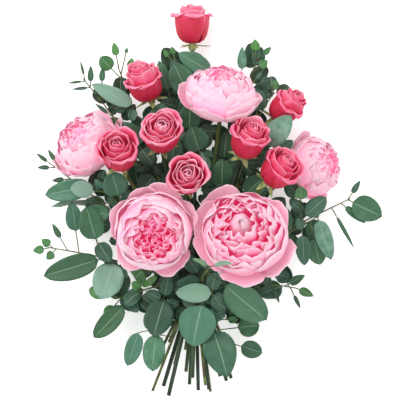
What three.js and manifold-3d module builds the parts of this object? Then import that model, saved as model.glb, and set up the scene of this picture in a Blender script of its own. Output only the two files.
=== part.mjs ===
// A hand-tied bouquet of peonies, roses and eucalyptus, lying on its back on a table.
// Millimetres, +Z up. The cut ends point along -Y, the top rose along +Y.
import * as THREE from "three";
import { mergeVertices } from "three/addons/utils/BufferGeometryUtils.js";
import Module from "manifold-3d";

const wasm = await Module();
wasm.setup();

// ---------- driving dimensions ----------
const bouquetLength = 573; // from the longest cut end to the tip of the top rose
const bouquetWidth = 515; // from the outermost leaf on the left to that on the right
const fitGap = 0.3; // between pieces that touch

const tieAcross = -3.5; // where the stems are tied, in hundredths of the width
const tieAlong = 26; // and in hundredths of the length
const tieHeight = 46; // middle of the tied stems above the table
const tieWidth = 14;
const tieThickness = 1.6;
const gripLength = 26; // stretch in which the stems run side by side through the tie
const fanAcross = 5.2; // how many times wider the stems stand at their cut ends
const cutSpread = 8; // the cut ends differ by so many hundredths of the length
const twigShortfall = 9; // a twig that is bare below the tie is cut shorter by so many more

const peonyStemRadius = 3.4;
const roseStemRadius = 3.0;
const flowerStemSides = 7;
const neckLength = 16; // straight stretch of a stem under its flower
const branchFootRadius = 2.3;
const branchTipRadius = 0.9;
const branchSides = 5;

const guardBowlHeight = 30; // of a peony's outer petals
const guardThickness = 3;
const domeHeight = 30; // of a peony's heart above the rim of the outer petals
const petalLobes = 5;
const lobeDepth = 3;
const peonyCalyxRadius = 9;
const peonyCalyxHeight = 9;
const peonySepalLength = 24;
const peonySepalWidth = 14;
const peonySepalLift = 0.8; // of the tip above the foot
const peonySepalDepth = 2.6; // of the foot below the flower's base

const roseHeight = 53;
const roseHipRadius = 6.5;
const roseHipHeight = 12;
const roseSepalLength = 22;
const roseSepalWidth = 8;
const roseSepalLift = -7;
const roseSepalDepth = 3;
const sepalsPerFlower = 5;
const sepalThickness = 1.6;

const leafThickness = 1.4;
const leafDroop = 0.07; // sink of a blade's tip, as a share of its length
const petioleRadius = 0.9;
const shortestPetiole = 5;
const leafTableGap = 0.4;

// A point given in hundredths of the bouquet's width and length, and its height above the table.
function at(across, along, height) {
  return new THREE.Vector3((across / 100) * bouquetWidth, (along / 100) * bouquetLength, height);
}

const tiePoint = at(tieAcross, tieAlong, tieHeight);

// ---------- materials ----------
function finish(colour, roughness) {
  return new THREE.MeshStandardMaterial({ color: colour, roughness: roughness, metalness: 0 });
}
const peonyPetal = finish(0xf2a9c0, 0.7);
const guardPetal = finish(0xf7cfdd, 0.7);
const rosePetal = finish(0xd9304f, 0.6);
const sepalGreen = finish(0x9db070, 0.65);
const stemGreen = finish(0x3f5a2c, 0.55);
const leafGreen = finish(0x5c8f76, 0.6);
const raffia = finish(0xc9b184, 0.85);

// ---------- the flowers: where each head is, the way it faces and its radius ----------
// A head that rests lies on the table.
const peonies = [
  { centre: at(-15.2, 41.8, 142), faces: [0.02, -0.08, 1], radius: 58 },
  { centre: at(9.9, 41.3, 148), faces: [-0.05, 0.28, 1], radius: 65 },
  { centre: at(-34.6, 64.4, 0), faces: [-0.5, 0.55, 0.65], radius: 50, rests: true },
  { centre: at(3.8, 77, 88), faces: [0.05, 0.85, 0.55], radius: 52 },
  { centre: at(30.6, 58.3, 0), faces: [0.75, 0.15, 0.65], radius: 44, rests: true },
];
const roses = [
  { centre: at(-4.4, 94.6, 0), faces: [0, 1, 0.08], radius: 26, rests: true },
  { centre: at(-17.9, 79.6, 62), faces: [-0.3, 0.8, 0.5], radius: 27 },
  { centre: at(-12.9, 66.2, 120), faces: [0, 0.5, 0.85], radius: 29 },
  { centre: at(-24.9, 61.4, 112), faces: [-0.12, 0.5, 0.85], radius: 28 },
  { centre: at(-5.8, 55.4, 132), faces: [0.03, 0.25, 0.97], radius: 28 },
  { centre: at(11.4, 64.6, 116), faces: [0.3, 0.7, 0.65], radius: 27 },
  { centre: at(19.8, 57.2, 112), faces: [0.5, 0.55, 0.65], radius: 27 },
  { centre: at(22.4, 73.5, 66), faces: [0.6, 0.6, 0.5], radius: 24 },
];

// ---------- the eucalyptus: the twig's way past the tie, and its leaves ----------
// A leaf: share of the way along the twig, tip, blade length, blade width, and turn about its
// length in degrees. Where the stalk and the blade run different ways, the blade's foot is given.
const branches = [
  {
    route: [at(-13, 33.5, 64), at(-27, 37.5, 58), at(-37, 38.5, 54), at(-45.6, 37.5, 48)],
    leaves: [
      [0.52, at(-30.4, 24.6, 74), 60, 45, 0],
      [0.6, at(-46.7, 30.2, 60), 84, 36, 0],
      [0.62, at(-34.4, 47.8, 80), 52, 37, 0],
      [0.78, at(-38.7, 49.2, 64), 44, 25, 0],
      [0.86, at(-44.2, 43.6, 58), 24, 9, 0],
      [0.96, at(-47.3, 39.6, 52), 15, 13, 0],
      [1, at(-49.9, 36.6, 46), 17, 13, 0],
      [0.94, at(-46, 34.4, 44), 15, 13, 0],
      [0.3, at(-21, 29.5, 34), 44, 32, 0],
      [0.42, at(-22, 45, 40), 46, 32, 0],
    ],
  },
  {
    route: [at(-11, 37, 70), at(-21, 45.5, 70), at(-31, 54, 68)],
    leaves: [
      [1, at(-46.3, 50.9, 62), 70, 32, 0],
      [0.9, at(-38.7, 52.8, 84), 34, 25, 0],
      [0.74, at(-27.2, 56.8, 84), 38, 38, 0],
      [0.8, at(-45, 48.2, 44), 60, 24, 70],
      [0.68, at(-35.3, 46.2, 54), 38, 27, 0],
      [0.45, at(-24, 52, 46), 44, 32, 0],
    ],
  },
  {
    route: [at(-9, 50, 50), at(-17, 65, 50), at(-22, 76, 50), at(-25.5, 84, 50)],
    leaves: [
      [0.66, at(-33, 79.2, 62), 64, 24, 0, at(-21.4, 74, 58)],
      [0.93, at(-30.6, 86.2, 54), 24, 22, 0],
      [0.9, at(-21.6, 86, 50), 15, 11, 0],
      [1, at(-26.8, 90, 52), 20, 11, 0],
      [0.96, at(-23, 88.6, 50), 8, 6, 0],
      [0.56, at(-13, 74.5, 62), 44, 34, 0],
      [0.5, at(-24, 69.5, 60), 42, 32, 0],
      [0.4, at(-9, 66, 50), 40, 32, 0],
    ],
  },
  {
    route: [at(-13, 50, 34), at(-22, 67, 36), at(-29, 76, 42), at(-35.6, 80.8, 46)],
    leaves: [
      [0.88, at(-29.9, 83.8, 50), 22, 9, 0],
      [0.95, at(-33.3, 84, 54), 24, 9, 0],
      [1, at(-36.3, 85.3, 52), 22, 4, 0],
      [1, at(-40, 79.6, 46), 22, 4, 0],
      [0.95, at(-38.8, 78, 44), 26, 5, 0],
      [0.78, at(-32.2, 74.4, 42), 24, 6, 0],
      [0.6, at(-28, 71, 30), 40, 26, 0],
    ],
  },
  {
    route: [at(-13, 42, 34), at(-28, 50, 30), at(-38, 54.5, 32), at(-44.2, 58.4, 34)],
    leaves: [
      [1, at(-49, 61.6, 38), 20, 6, 0],
      [1, at(-48.8, 58, 36), 18, 7, 0],
      [0.94, at(-45.6, 62.6, 40), 18, 7, 0],
      [0.88, at(-44.6, 54.6, 34), 18, 8, 0],
      [0.6, at(-35.5, 49.5, 30), 36, 26, 0],
      [0.5, at(-27, 57, 34), 38, 28, 0],
    ],
  },
  {
    route: [at(-8, 31, 64), at(-15, 30.5, 62), at(-21, 27.5, 56), at(-25, 24.4, 50)],
    leaves: [
      [0.75, at(-32.5, 14.4, 52), 64, 29, 0],
      [-0.08, at(-15.4, 14.8, 72), 52, 42, 0, at(-12.4, 24.2, 72)],
      [-0.4, at(-15.8, 5.8, 56), 56, 33, 0, at(-14.8, 15.4, 66)],
      [-0.25, at(-22.8, 7.2, 56), 48, 25, 0, at(-19.8, 15.8, 64)],
      [1, at(-34, 26.6, 44), 26, 20, 0],
      [1, at(-29.6, 19.6, 42), 22, 17, 0],
      [0.9, at(-28.6, 28.6, 46), 22, 18, 0],
      [0.65, at(-21.6, 28.6, 58), 26, 16, 0],
      [0.5, at(-17, 29.5, 40), 34, 26, 0],
    ],
  },
  {
    route: [at(-10, 34, 36), at(-19, 40, 30), at(-27, 43, 28)],
    leaves: [
      [0.3, at(-22, 31, 26), 34, 26, 0],
      [0.6, at(-26, 34.5, 30), 40, 28, 0],
      [1, at(-34, 44, 30), 42, 28, 0],
      [0.8, at(-24, 49, 30), 40, 28, 0],
    ],
  },
  {
    route: [at(-2, 30.6, 92), at(0, 32.4, 128), at(1, 33.6, 168)],
    leaves: [
      [0.62, at(-9.2, 26.2, 100), 52, 28, 0, at(1, 26.2, 104)],
      [0.4, at(-4.4, 12.4, 76), 62, 54, 0, at(-1.8, 23.2, 94)],
      [0.66, at(16.6, 19, 76), 78, 46, 0, at(4.8, 28.2, 100)],
      [-0.2, at(3.4, 4.4, 84), 68, 48, 0, at(1.6, 16.4, 80)],
      [1, at(-4.2, 35.2, 176), 26, 12, 55],
      [1, at(6.4, 34.2, 186), 28, 12, -55],
    ],
  },
  {
    route: [at(3, 34, 26), at(10, 40, 22), at(16, 45, 22)],
    leaves: [
      [-0.5, at(14.8, 17.4, 50), 32, 31, 0],
      [-0.55, at(15.6, 10.2, 40), 33, 26, 0],
      [-0.3, at(8.8, 18.8, 42), 16, 11, 0],
      [0.35, at(9, 31.5, 18), 36, 28, 0],
      [0.6, at(18, 37, 22), 40, 30, 0],
      [1, at(22, 50, 24), 40, 28, 0],
      [0.7, at(6, 48, 22), 40, 30, 0],
    ],
  },
  {
    route: [at(5, 30, 56), at(13, 31.5, 54), at(20, 29.8, 50), at(25.5, 27, 46)],
    leaves: [
      [0.86, at(27.6, 30.4, 50), 26, 13, 0],
      [1, at(30.2, 25, 44), 27, 13, 0],
      [0.5, at(16.6, 25.8, 46), 22, 6, 0],
      [0.72, at(20.4, 23.2, 44), 24, 6, 0],
      [0.92, at(26.4, 21.8, 42), 22, 6, 0],
      [0.3, at(11, 27, 40), 34, 26, 0],
      [0.6, at(19.6, 35, 60), 26, 16, 0],
    ],
  },
  {
    route: [at(6, 33, 62), at(17, 39, 60), at(26, 43, 58), at(31.6, 45.6, 58)],
    leaves: [
      [1, at(35, 34.4, 62), 62, 25, 0],
      [0.92, at(32, 33, 46), 40, 30, 0],
      [0.85, at(27.4, 33, 62), 44, 23, 0],
      [0.84, at(26.2, 53, 84), 20, 20, 0],
      [0.5, at(22, 34.4, 50), 46, 34, 0],
      [0.65, at(22, 48, 58), 42, 32, 0],
      [0.7, at(33.6, 50.4, 54), 40, 26, 0],
    ],
  },
  {
    route: [at(9, 38, 42), at(23, 45, 38), at(34, 48, 38), at(40.6, 50, 42)],
    leaves: [
      [1, at(49.6, 45.3, 44), 48, 38, 0],
      [0.94, at(45.2, 43.6, 34), 40, 12, 0],
      [0.88, at(41.8, 37.2, 40), 54, 6, 0],
      [1, at(43.4, 54.6, 48), 22, 9, 0],
      [0.7, at(33.6, 40, 30), 42, 30, 0],
      [0.5, at(26, 38, 28), 44, 32, 0],
    ],
  },
  {
    route: [at(5, 50, 44), at(12, 62, 48), at(17.4, 70, 52), at(19.4, 77, 56)],
    leaves: [
      [0.62, at(23.4, 71, 92), 44, 34, 0, at(16.4, 63.6, 86)],
      [0.5, at(24, 64.8, 76), 38, 20, 0],
      [0.84, at(13.8, 78, 74), 33, 32, 0],
      [1, at(19.4, 80.4, 60), 15, 14, 0],
      [0.66, at(11.6, 72.4, 52), 36, 28, 0],
      [0.4, at(16.4, 55.6, 60), 40, 32, 0],
      [0.3, at(4, 60, 84), 42, 36, 0],
    ],
  },
  {
    route: [at(2, 50, 30), at(7, 70, 26), at(11, 80, 34), at(14, 86, 42)],
    leaves: [
      [0.76, at(9.7, 89, 50), 34, 14, 0],
      [1, at(13.4, 90.8, 50), 17, 14, 0],
      [1, at(18, 88.8, 48), 15, 9, 0],
      [0.94, at(17, 85.4, 44), 15, 14, 0],
      [0.86, at(15.4, 82.6, 40), 13, 6, 0],
      [0.34, at(-1, 69, 84), 40, 38, 0],
      [0.42, at(5.4, 67, 56), 40, 32, 0],
      [0.22, at(4.6, 53.6, 96), 40, 32, 0],
      [0.28, at(-1.6, 61.6, 112), 46, 22, 80],
    ],
  },
  {
    route: [at(-3, 50, 20), at(-6.4, 70, 16), at(-8, 79, 20), at(-9, 85, 30)],
    leaves: [
      [0.78, at(-8.4, 87.3, 48), 50, 28, 0, at(0.6, 82.6, 34)],
      [0.7, at(-9.8, 84.6, 46), 46, 37, 0, at(-5.4, 77, 36)],
      [0.62, at(-14, 85.4, 40), 46, 20, 0],
      [1, at(-10.4, 89, 40), 12, 9, 0],
      [0.96, at(-12.6, 88.2, 36), 12, 8, 0],
      [0.5, at(-5, 74.4, 56), 40, 34, 0],
      [0.4, at(-12, 62, 30), 40, 32, 0],
    ],
  },
];

// ---------- solids ----------
// A closed geometry as a manifold solid.
function solidOf(geometry) {
  const bare = geometry.clone();
  bare.deleteAttribute("normal");
  bare.deleteAttribute("uv");
  const merged = mergeVertices(bare, 1e-4);
  return new wasm.Manifold(
    new wasm.Mesh({
      numProp: 3,
      vertProperties: new Float32Array(merged.attributes.position.array),
      triVerts: new Uint32Array(merged.index.array),
    }),
  );
}

function geometryOf(solid) {
  const mesh = solid.getMesh();
  const corners = new Float32Array(mesh.numVert * 3);
  for (let i = 0; i < mesh.numVert; i++) {
    corners.set(mesh.vertProperties.subarray(i * mesh.numProp, i * mesh.numProp + 3), i * 3);
  }
  const geometry = new THREE.BufferGeometry();
  geometry.setAttribute("position", new THREE.BufferAttribute(corners, 3));
  geometry.setIndex(new THREE.BufferAttribute(new Uint32Array(mesh.triVerts), 1));
  geometry.computeVertexNormals();
  return geometry;
}

function boxesMeet(a, b) {
  const boxA = a.boundingBox();
  const boxB = b.boundingBox();
  return [0, 1, 2].every((i) => boxA.min[i] <= boxB.max[i] && boxB.min[i] <= boxA.max[i]);
}

function overlaps(a, b) {
  return boxesMeet(a, b) && !a.intersect(b).isEmpty();
}

// ---------- turned shapes ----------
// Points along an upright ellipse in the profile plane, from one angle to another. The angle is 0
// at the foot and a half turn at the top.
function ellipseArc(radius, height, middle, fromAngle, toAngle, steps) {
  const points = [];
  for (let i = 0; i <= steps; i++) {
    const angle = fromAngle + ((toAngle - fromAngle) * i) / steps;
    points.push(new THREE.Vector2(radius * Math.sin(angle), middle - height * Math.cos(angle)));
  }
  return points;
}

// A turned shape that stands along +Z.
function turned(profile, sides) {
  const geometry = new THREE.LatheGeometry(profile, sides);
  geometry.rotateX(Math.PI / 2);
  return geometry;
}

const bowlSteps = 4;
const bowlSides = 3 * petalLobes;

// The outer petals of a peony, one lobed bowl.
function guardBowl(radius) {
  const quarter = Math.PI / 2;
  const outside = ellipseArc(radius, guardBowlHeight, guardBowlHeight, 0, quarter, bowlSteps);
  const inside = ellipseArc(
    radius - guardThickness,
    guardBowlHeight - guardThickness,
    guardBowlHeight,
    quarter,
    0,
    bowlSteps,
  );
  outside[0].x = 0;
  inside[inside.length - 1].x = 0;
  const geometry = turned([...outside, ...inside], bowlSides);
  const position = geometry.attributes.position;
  for (let i = 0; i < position.count; i++) {
    const x = position.getX(i);
    const y = position.getY(i);
    const rise = Math.min(1, Math.max(0, position.getZ(i) / guardBowlHeight));
    const lobe = (1 + Math.cos(petalLobes * Math.atan2(y, x))) / 2;
    const grow = 1 + (lobe * rise * lobeDepth) / radius;
    position.setXYZ(i, x * grow, y * grow, position.getZ(i) + lobe * rise * rise * lobeDepth);
  }
  return geometry;
}

// The heart of a peony, which fills the bowl and domes above it.
function peonyHeart(radius) {
  const heartRadius = radius - guardThickness - fitGap;
  const depth = guardBowlHeight - guardThickness - fitGap;
  const quarter = Math.PI / 2;
  const profile = [
    ...ellipseArc(heartRadius, depth, guardBowlHeight, 0, quarter, bowlSteps),
    ...ellipseArc(heartRadius, domeHeight, guardBowlHeight, quarter, Math.PI, bowlSteps).slice(1),
  ];
  profile[0].x = 0;
  profile[profile.length - 1].x = 0;
  return turned(profile, bowlSides);
}

// A rose's cup, from its outline in shares of the flower's radius and height.
const roseSides = 12;
const roseOutline = [
  [0, 0],
  [0.42, 0.04],
  [0.8, 0.22],
  [1, 0.56],
  [0.96, 0.82],
  [0.68, 0.97],
  [0, 1],
];

function roseBloom(radius) {
  const profile = roseOutline.map(([r, z]) => new THREE.Vector2(r * radius, z * roseHeight));
  return turned(profile, roseSides);
}

// ---------- blades: leaves and sepals ----------
// A leaf or a sepal is one closed solid with four corners round it: a stalk from `joint` to
// `foot`, then a thin lens to `tip`. `up` is the side that the upper face looks to.
const broadStations = [0.18, 0.5, 0.84, 1];
const narrowStations = [0.45, 1];
const narrowWidth = 16; // a blade up to this wide needs only one ring between its ends
const bladeBow = 2; // rise of a blade's middle, for each unit of its tip's sink

function bladeSolid(joint, foot, tip, width, thickness, stalkRadius, up, droop) {
  const bladeStations = width > narrowWidth ? broadStations : narrowStations;
  const rings = bladeStations.length + 1;
  const geometry = new THREE.CylinderGeometry(1, 1, rings, 4, rings);
  const along = tip.clone().sub(foot);
  const length = along.length();
  along.normalize();
  const stalkWay = foot.clone().sub(joint).normalize();
  const ways = [stalkWay, stalkWay.clone().add(along).normalize()];
  const position = geometry.attributes.position;
  for (let i = 0; i < position.count; i++) {
    const ring = Math.round(rings / 2 - position.getY(i));
    const way = ways[ring] || along;
    const side = new THREE.Vector3().crossVectors(up, way).normalize();
    const face = new THREE.Vector3().crossVectors(way, side);
    const share = ring < 2 ? 0 : bladeStations[ring - 2];
    const halfWidth = ring < 2 ? stalkRadius : width * Math.sqrt(share * (1 - share));
    const halfThickness = ring < 2 ? stalkRadius : ring === rings ? 0 : thickness / 2;
    const sag = ring < 2 ? 0 : droop * length * share * (bladeBow * (1 - share) - 0.5);
    const point = ring === 0 ? joint.clone() : foot.clone().addScaledVector(along, share * length);
    point.addScaledVector(side, -position.getZ(i) * halfWidth);
    point.addScaledVector(face, position.getX(i) * halfThickness + sag);
    position.setXYZ(i, point.x, point.y, point.z);
  }
  return solidOf(geometry);
}

// ---------- canes: the flower stems and the eucalyptus twigs ----------
// A way through its own corners, with one ring of the extrusion on each.
class CanePath extends THREE.Curve {
  constructor(knots) {
    super();
    this.knots = knots;
  }
  getPointAt(share) {
    const place = share * (this.knots.length - 1);
    const i = Math.min(Math.floor(place + 1e-6), this.knots.length - 2);
    return this.knots[i].clone().lerp(this.knots[i + 1], place - i);
  }
  getPoint(share) {
    return this.getPointAt(share);
  }
  getTangentAt(share) {
    const i = Math.round(share * (this.knots.length - 1));
    const before = this.knots[Math.max(i - 1, 0)];
    const after = this.knots[Math.min(i + 1, this.knots.length - 1)];
    return after.clone().sub(before).normalize();
  }
}

function radiusAt(cane, knotIndex) {
  const share = Math.max(0, (knotIndex - 2) / (cane.knots.length - 3));
  return THREE.MathUtils.lerp(cane.radius, cane.tipRadius, share);
}

function caneSolid(cane) {
  const section = new THREE.Shape();
  for (let i = 0; i < cane.sides; i++) {
    const angle = (2 * Math.PI * i) / cane.sides;
    const x = Math.cos(angle);
    const y = Math.sin(angle);
    if (i === 0) section.moveTo(x, y);
    else section.lineTo(x, y);
  }
  const steps = cane.knots.length - 1;
  const path = new CanePath(cane.knots);
  const geometry = new THREE.ExtrudeGeometry(section, {
    steps: steps,
    bevelEnabled: false,
    extrudePath: path,
  });
  // The section is a millimetre in radius: each ring grows to the cane's own size there.
  const position = geometry.attributes.position;
  const point = new THREE.Vector3();
  for (let i = 0; i < position.count; i++) {
    point.fromBufferAttribute(position, i);
    let nearest = 0;
    for (let k = 1; k <= steps; k++) {
      const closer = cane.knots[k].distanceTo(point) < cane.knots[nearest].distanceTo(point);
      if (closer) nearest = k;
    }
    const knot = cane.knots[nearest];
    point.sub(knot).multiplyScalar(radiusAt(cane, nearest)).add(knot);
    position.setXYZ(i, point.x, point.y, point.z);
  }
  return solidOf(geometry);
}

// The nearest points of two straight pieces, as shares of their lengths.
function nearestShares(a0, a1, b0, b1) {
  const d1 = a1.clone().sub(a0);
  const d2 = b1.clone().sub(b0);
  const r = a0.clone().sub(b0);
  const a = d1.dot(d1);
  const e = d2.dot(d2);
  const b = d1.dot(d2);
  const c = d1.dot(r);
  const f = d2.dot(r);
  const spread = a * e - b * b;
  const clamp = THREE.MathUtils.clamp;
  let s = spread > 1e-9 ? clamp((b * f - c * e) / spread, 0, 1) : 0;
  let t = (b * s + f) / e;
  if (t < 0 || t > 1) {
    t = clamp(t, 0, 1);
    s = clamp((b * t - c) / a, 0, 1);
  }
  return [s, t];
}

// ---------- the flower heads ----------
const bouquet = new THREE.Group();
const placed = new Map(); // name of each piece to its solid in the bouquet's frame

function addMesh(parent, name, geometry, material) {
  const mesh = new THREE.Mesh(geometry, material);
  mesh.name = name;
  parent.add(mesh);
  return mesh;
}

// A ring of sepals on the small green cup under a flower.
const cupSides = 8;
const cupRim = 0.8; // radius of the cup's top, as a share of its widest
const cupWaist = 0.4; // depth of the widest, as a share of the cup's height

function sepalRing(cup, sepal) {
  const profile = [
    new THREE.Vector2(0, -cup.height),
    new THREE.Vector2(cup.stemRadius + fitGap, -cup.height),
    new THREE.Vector2(cup.radius, -cup.height * cupWaist),
    new THREE.Vector2(cup.radius * cupRim, -fitGap),
    new THREE.Vector2(0, -fitGap),
  ];
  let solid = solidOf(turned(profile, cupSides));
  const skyward = new THREE.Vector3(0, 0, 1);
  for (let i = 0; i < sepalsPerFlower; i++) {
    const angle = (2 * Math.PI * i) / sepalsPerFlower;
    const place = (reach, height) =>
      new THREE.Vector3(reach * Math.cos(angle), reach * Math.sin(angle), height);
    const joint = place(cup.radius / 2, -sepal.depth);
    const foot = place(cup.radius * cupRim, -sepal.depth);
    const tip = place(cup.radius * cupRim + sepal.length, sepal.lift - sepal.depth);
    solid = solid.add(
      bladeSolid(joint, foot, tip, sepal.width, sepalThickness, sepalThickness / 2, skyward, 0),
    );
  }
  return geometryOf(solid);
}

// Places one flower and returns the point where its stem ends.
function placeHead(name, flower, height, cupHeight, pieces) {
  const head = new THREE.Group();
  const axis = new THREE.Vector3(...flower.faces).normalize();
  head.quaternion.setFromUnitVectors(new THREE.Vector3(0, 0, 1), axis);
  head.position.copy(flower.centre).addScaledVector(axis, -height / 2);
  for (const [piece, geometry, material] of pieces) {
    addMesh(head, name + "_" + piece, geometry, material);
  }
  if (flower.rests) {
    head.updateMatrixWorld(true);
    const low = new THREE.Box3().setFromObject(head, true).min.z;
    head.position.z -= low;
    flower.centre.z -= low;
  }
  bouquet.add(head);
  head.updateMatrixWorld(true);
  for (const mesh of head.children) {
    placed.set(mesh.name, solidOf(mesh.geometry.clone().applyMatrix4(mesh.matrixWorld)));
  }
  return {
    group: head,
    axis: axis,
    stemTop: head.position.clone().addScaledVector(axis, -cupHeight - fitGap),
    centre: flower.centre,
    reach: flower.radius,
  };
}

const heads = [];
const canes = [];

peonies.forEach((flower, i) => {
  const name = "peony_" + (i + 1);
  const sepals = sepalRing(
    { radius: peonyCalyxRadius, height: peonyCalyxHeight, stemRadius: peonyStemRadius },
    {
      length: peonySepalLength,
      width: peonySepalWidth,
      lift: peonySepalLift,
      depth: peonySepalDepth,
    },
  );
  const head = placeHead(name, flower, guardBowlHeight + domeHeight, peonyCalyxHeight, [
    ["inner_petals", peonyHeart(flower.radius), peonyPetal],
    ["guard_petals", guardBowl(flower.radius), guardPetal],
    ["sepals", sepals, sepalGreen],
  ]);
  heads.push(head);
  canes.push({
    name: name + "_stem",
    radius: peonyStemRadius,
    tipRadius: peonyStemRadius,
    sides: flowerStemSides,
    head: head,
  });
});

roses.forEach((flower, i) => {
  const name = "rose_" + (i + 1);
  const sepals = sepalRing(
    { radius: roseHipRadius, height: roseHipHeight, stemRadius: roseStemRadius },
    { length: roseSepalLength, width: roseSepalWidth, lift: roseSepalLift, depth: roseSepalDepth },
  );
  const head = placeHead(name, flower, roseHeight, roseHipHeight, [
    ["petals", roseBloom(flower.radius), rosePetal],
    ["sepals", sepals, sepalGreen],
  ]);
  heads.push(head);
  canes.push({
    name: name + "_stem",
    radius: roseStemRadius,
    tipRadius: roseStemRadius,
    sides: flowerStemSides,
    head: head,
  });
});

branches.forEach((branch, i) => {
  canes.push({
    name: "eucalyptus_branch_" + (i + 1),
    radius: branchFootRadius,
    tipRadius: branchTipRadius,
    sides: branchSides,
    branch: branch,
  });
});

// Flowers that would cut each other are drawn apart, a little at a time.
const drawApart = 0.5;
const mostDraws = 200;

function headsMeet(a, b) {
  return a.group.children.some((pieceA) =>
    b.group.children.some((pieceB) => overlaps(placed.get(pieceA.name), placed.get(pieceB.name))),
  );
}

function shiftHead(head, by) {
  for (const point of [head.group.position, head.stemTop, head.centre]) point.add(by);
  for (const piece of head.group.children) {
    placed.set(piece.name, placed.get(piece.name).translate(by.toArray()));
  }
}

for (let draw = 0; draw < mostDraws; draw++) {
  let crowded = false;
  heads.forEach((a, i) => {
    for (const b of heads.slice(i + 1)) {
      if (!headsMeet(a, b)) continue;
      crowded = true;
      const by = b.centre.clone().sub(a.centre).setZ(0).setLength(drawApart);
      shiftHead(b, by);
      shiftHead(a, by.negate());
    }
  });
  if (!crowded) break;
}

// ---------- the packing of the canes inside the tie ----------
// Each cane starts on the side that it will lean to. All are drawn to the middle and pushed apart
// until they lie side by side.
const leanReach = 60; // above the tie, where the canes' places are first compared
const packingRounds = 900;
const drawnRounds = 800; // the last rounds only push
const drawIn = 0.99;
const sweepsPerRound = 4;

for (const cane of canes) {
  const goal = cane.head ? cane.head.centre : cane.branch.route[1];
  const climb = Math.max(leanReach, goal.y - tiePoint.y);
  cane.slot = new THREE.Vector2(goal.x - tiePoint.x, goal.z - tiePoint.z);
  cane.slot.multiplyScalar(leanReach / climb);
}
for (let round = 0; round < packingRounds; round++) {
  if (round < drawnRounds) canes.forEach((cane) => cane.slot.multiplyScalar(drawIn));
  for (let sweep = 0; sweep < sweepsPerRound; sweep++) {
    canes.forEach((a, i) => {
      for (const b of canes.slice(i + 1)) {
        const apart = b.slot.clone().sub(a.slot);
        const short = a.radius + b.radius + fitGap - apart.length();
        if (short <= 0) continue;
        apart.normalize().multiplyScalar(short / 2);
        a.slot.sub(apart);
        b.slot.add(apart);
      }
    });
  }
}

// ---------- the ways of the canes ----------
const lowestSlot = Math.min(...canes.map((cane) => cane.slot.y));
const lowestCane = canes.find((cane) => cane.slot.y === lowestSlot);
const fanUpright = (tieHeight - lowestCane.radius) / -lowestSlot;
const gripStart = tiePoint.y - gripLength / 2;
const gripEnd = tiePoint.y + gripLength / 2;
const upperKnots = 8;
const goldenShare = 0.618; // spreads the cut ends evenly, with no two neighbours alike
const leaveReach = 0.35; // how far a stem runs on straight as it leaves the tie, as a share
const arriveReach = 0.3; // and as it comes to its flower

function belowFlower(head, distance) {
  return head.stemTop.clone().addScaledVector(head.axis, -distance);
}

function stemCurve(from, head) {
  const span = from.distanceTo(head.stemTop);
  const leaving = from.clone().add(new THREE.Vector3(0, leaveReach * span, 0));
  const arriving = belowFlower(head, arriveReach * span);
  return new THREE.CubicBezierCurve3(from, leaving, arriving, head.stemTop);
}

canes.forEach((cane, i) => {
  const bareTwig = cane.branch && cane.branch.leaves.every(([share]) => share > 0);
  const shortfall = bareTwig ? twigShortfall : 0;
  const shortened = shortfall + cutSpread * ((i * goldenShare) % 1);
  const cut = cane === lowestCane ? 0 : (shortened / 100) * bouquetLength;
  const reach = (gripStart - cut) / gripStart;
  const foot = new THREE.Vector3(
    tiePoint.x + cane.slot.x * (1 + (fanAcross - 1) * reach),
    cut,
    tiePoint.z + cane.slot.y * (1 + (fanUpright - 1) * reach),
  );
  const grip = (y) => new THREE.Vector3(tiePoint.x + cane.slot.x, y, tiePoint.z + cane.slot.y);
  cane.knots = [foot, grip(gripStart), grip(gripEnd)];
  const from = cane.knots[2];
  const way = cane.head
    ? stemCurve(from, cane.head)
    : new THREE.CatmullRomCurve3([from, ...cane.branch.route]);
  for (let k = 1; k <= upperKnots; k++) cane.knots.push(way.getPointAt(k / upperKnots));
  if (cane.head) cane.knots[cane.knots.length - 2] = belowFlower(cane.head, neckLength);
});

// The canes give way to each other, to the flower heads and to the table.
const caneRoom = 1.6;
const headRoom = 3;
const hipRoom = 20;
const tableRoom = 1;
const settlingRounds = 420;
const smoothedRounds = 300; // the last rounds only clear
const smoothing = 0.06;
const firstFree = 3; // knots below this one are held by the tie
const keepClear = heads.flatMap((head) => [
  { head: head, centre: head.centre, reach: head.reach + headRoom },
  { head: head, centre: head.stemTop, reach: hipRoom },
]);
const leastGrip = 0.1; // limits how far a push near a held knot carries the free one

function isFree(cane, k) {
  const last = cane.head ? cane.knots.length - 3 : cane.knots.length - 1;
  return k >= firstFree && k <= last;
}

function nudge(cane, k, push) {
  if (isFree(cane, k)) cane.knots[k].add(push);
}

// Moves the piece of a cane past knot m, so that the point at a share of its way moves by the push.
function shove(cane, m, share, push) {
  const holds = [1 - share, share].map((hold, n) => (isFree(cane, m + n) ? hold : 0));
  const grip = Math.max(leastGrip, holds[0] ** 2 + holds[1] ** 2);
  holds.forEach((hold, n) => cane.knots[m + n].addScaledVector(push, hold / grip));
}

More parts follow.
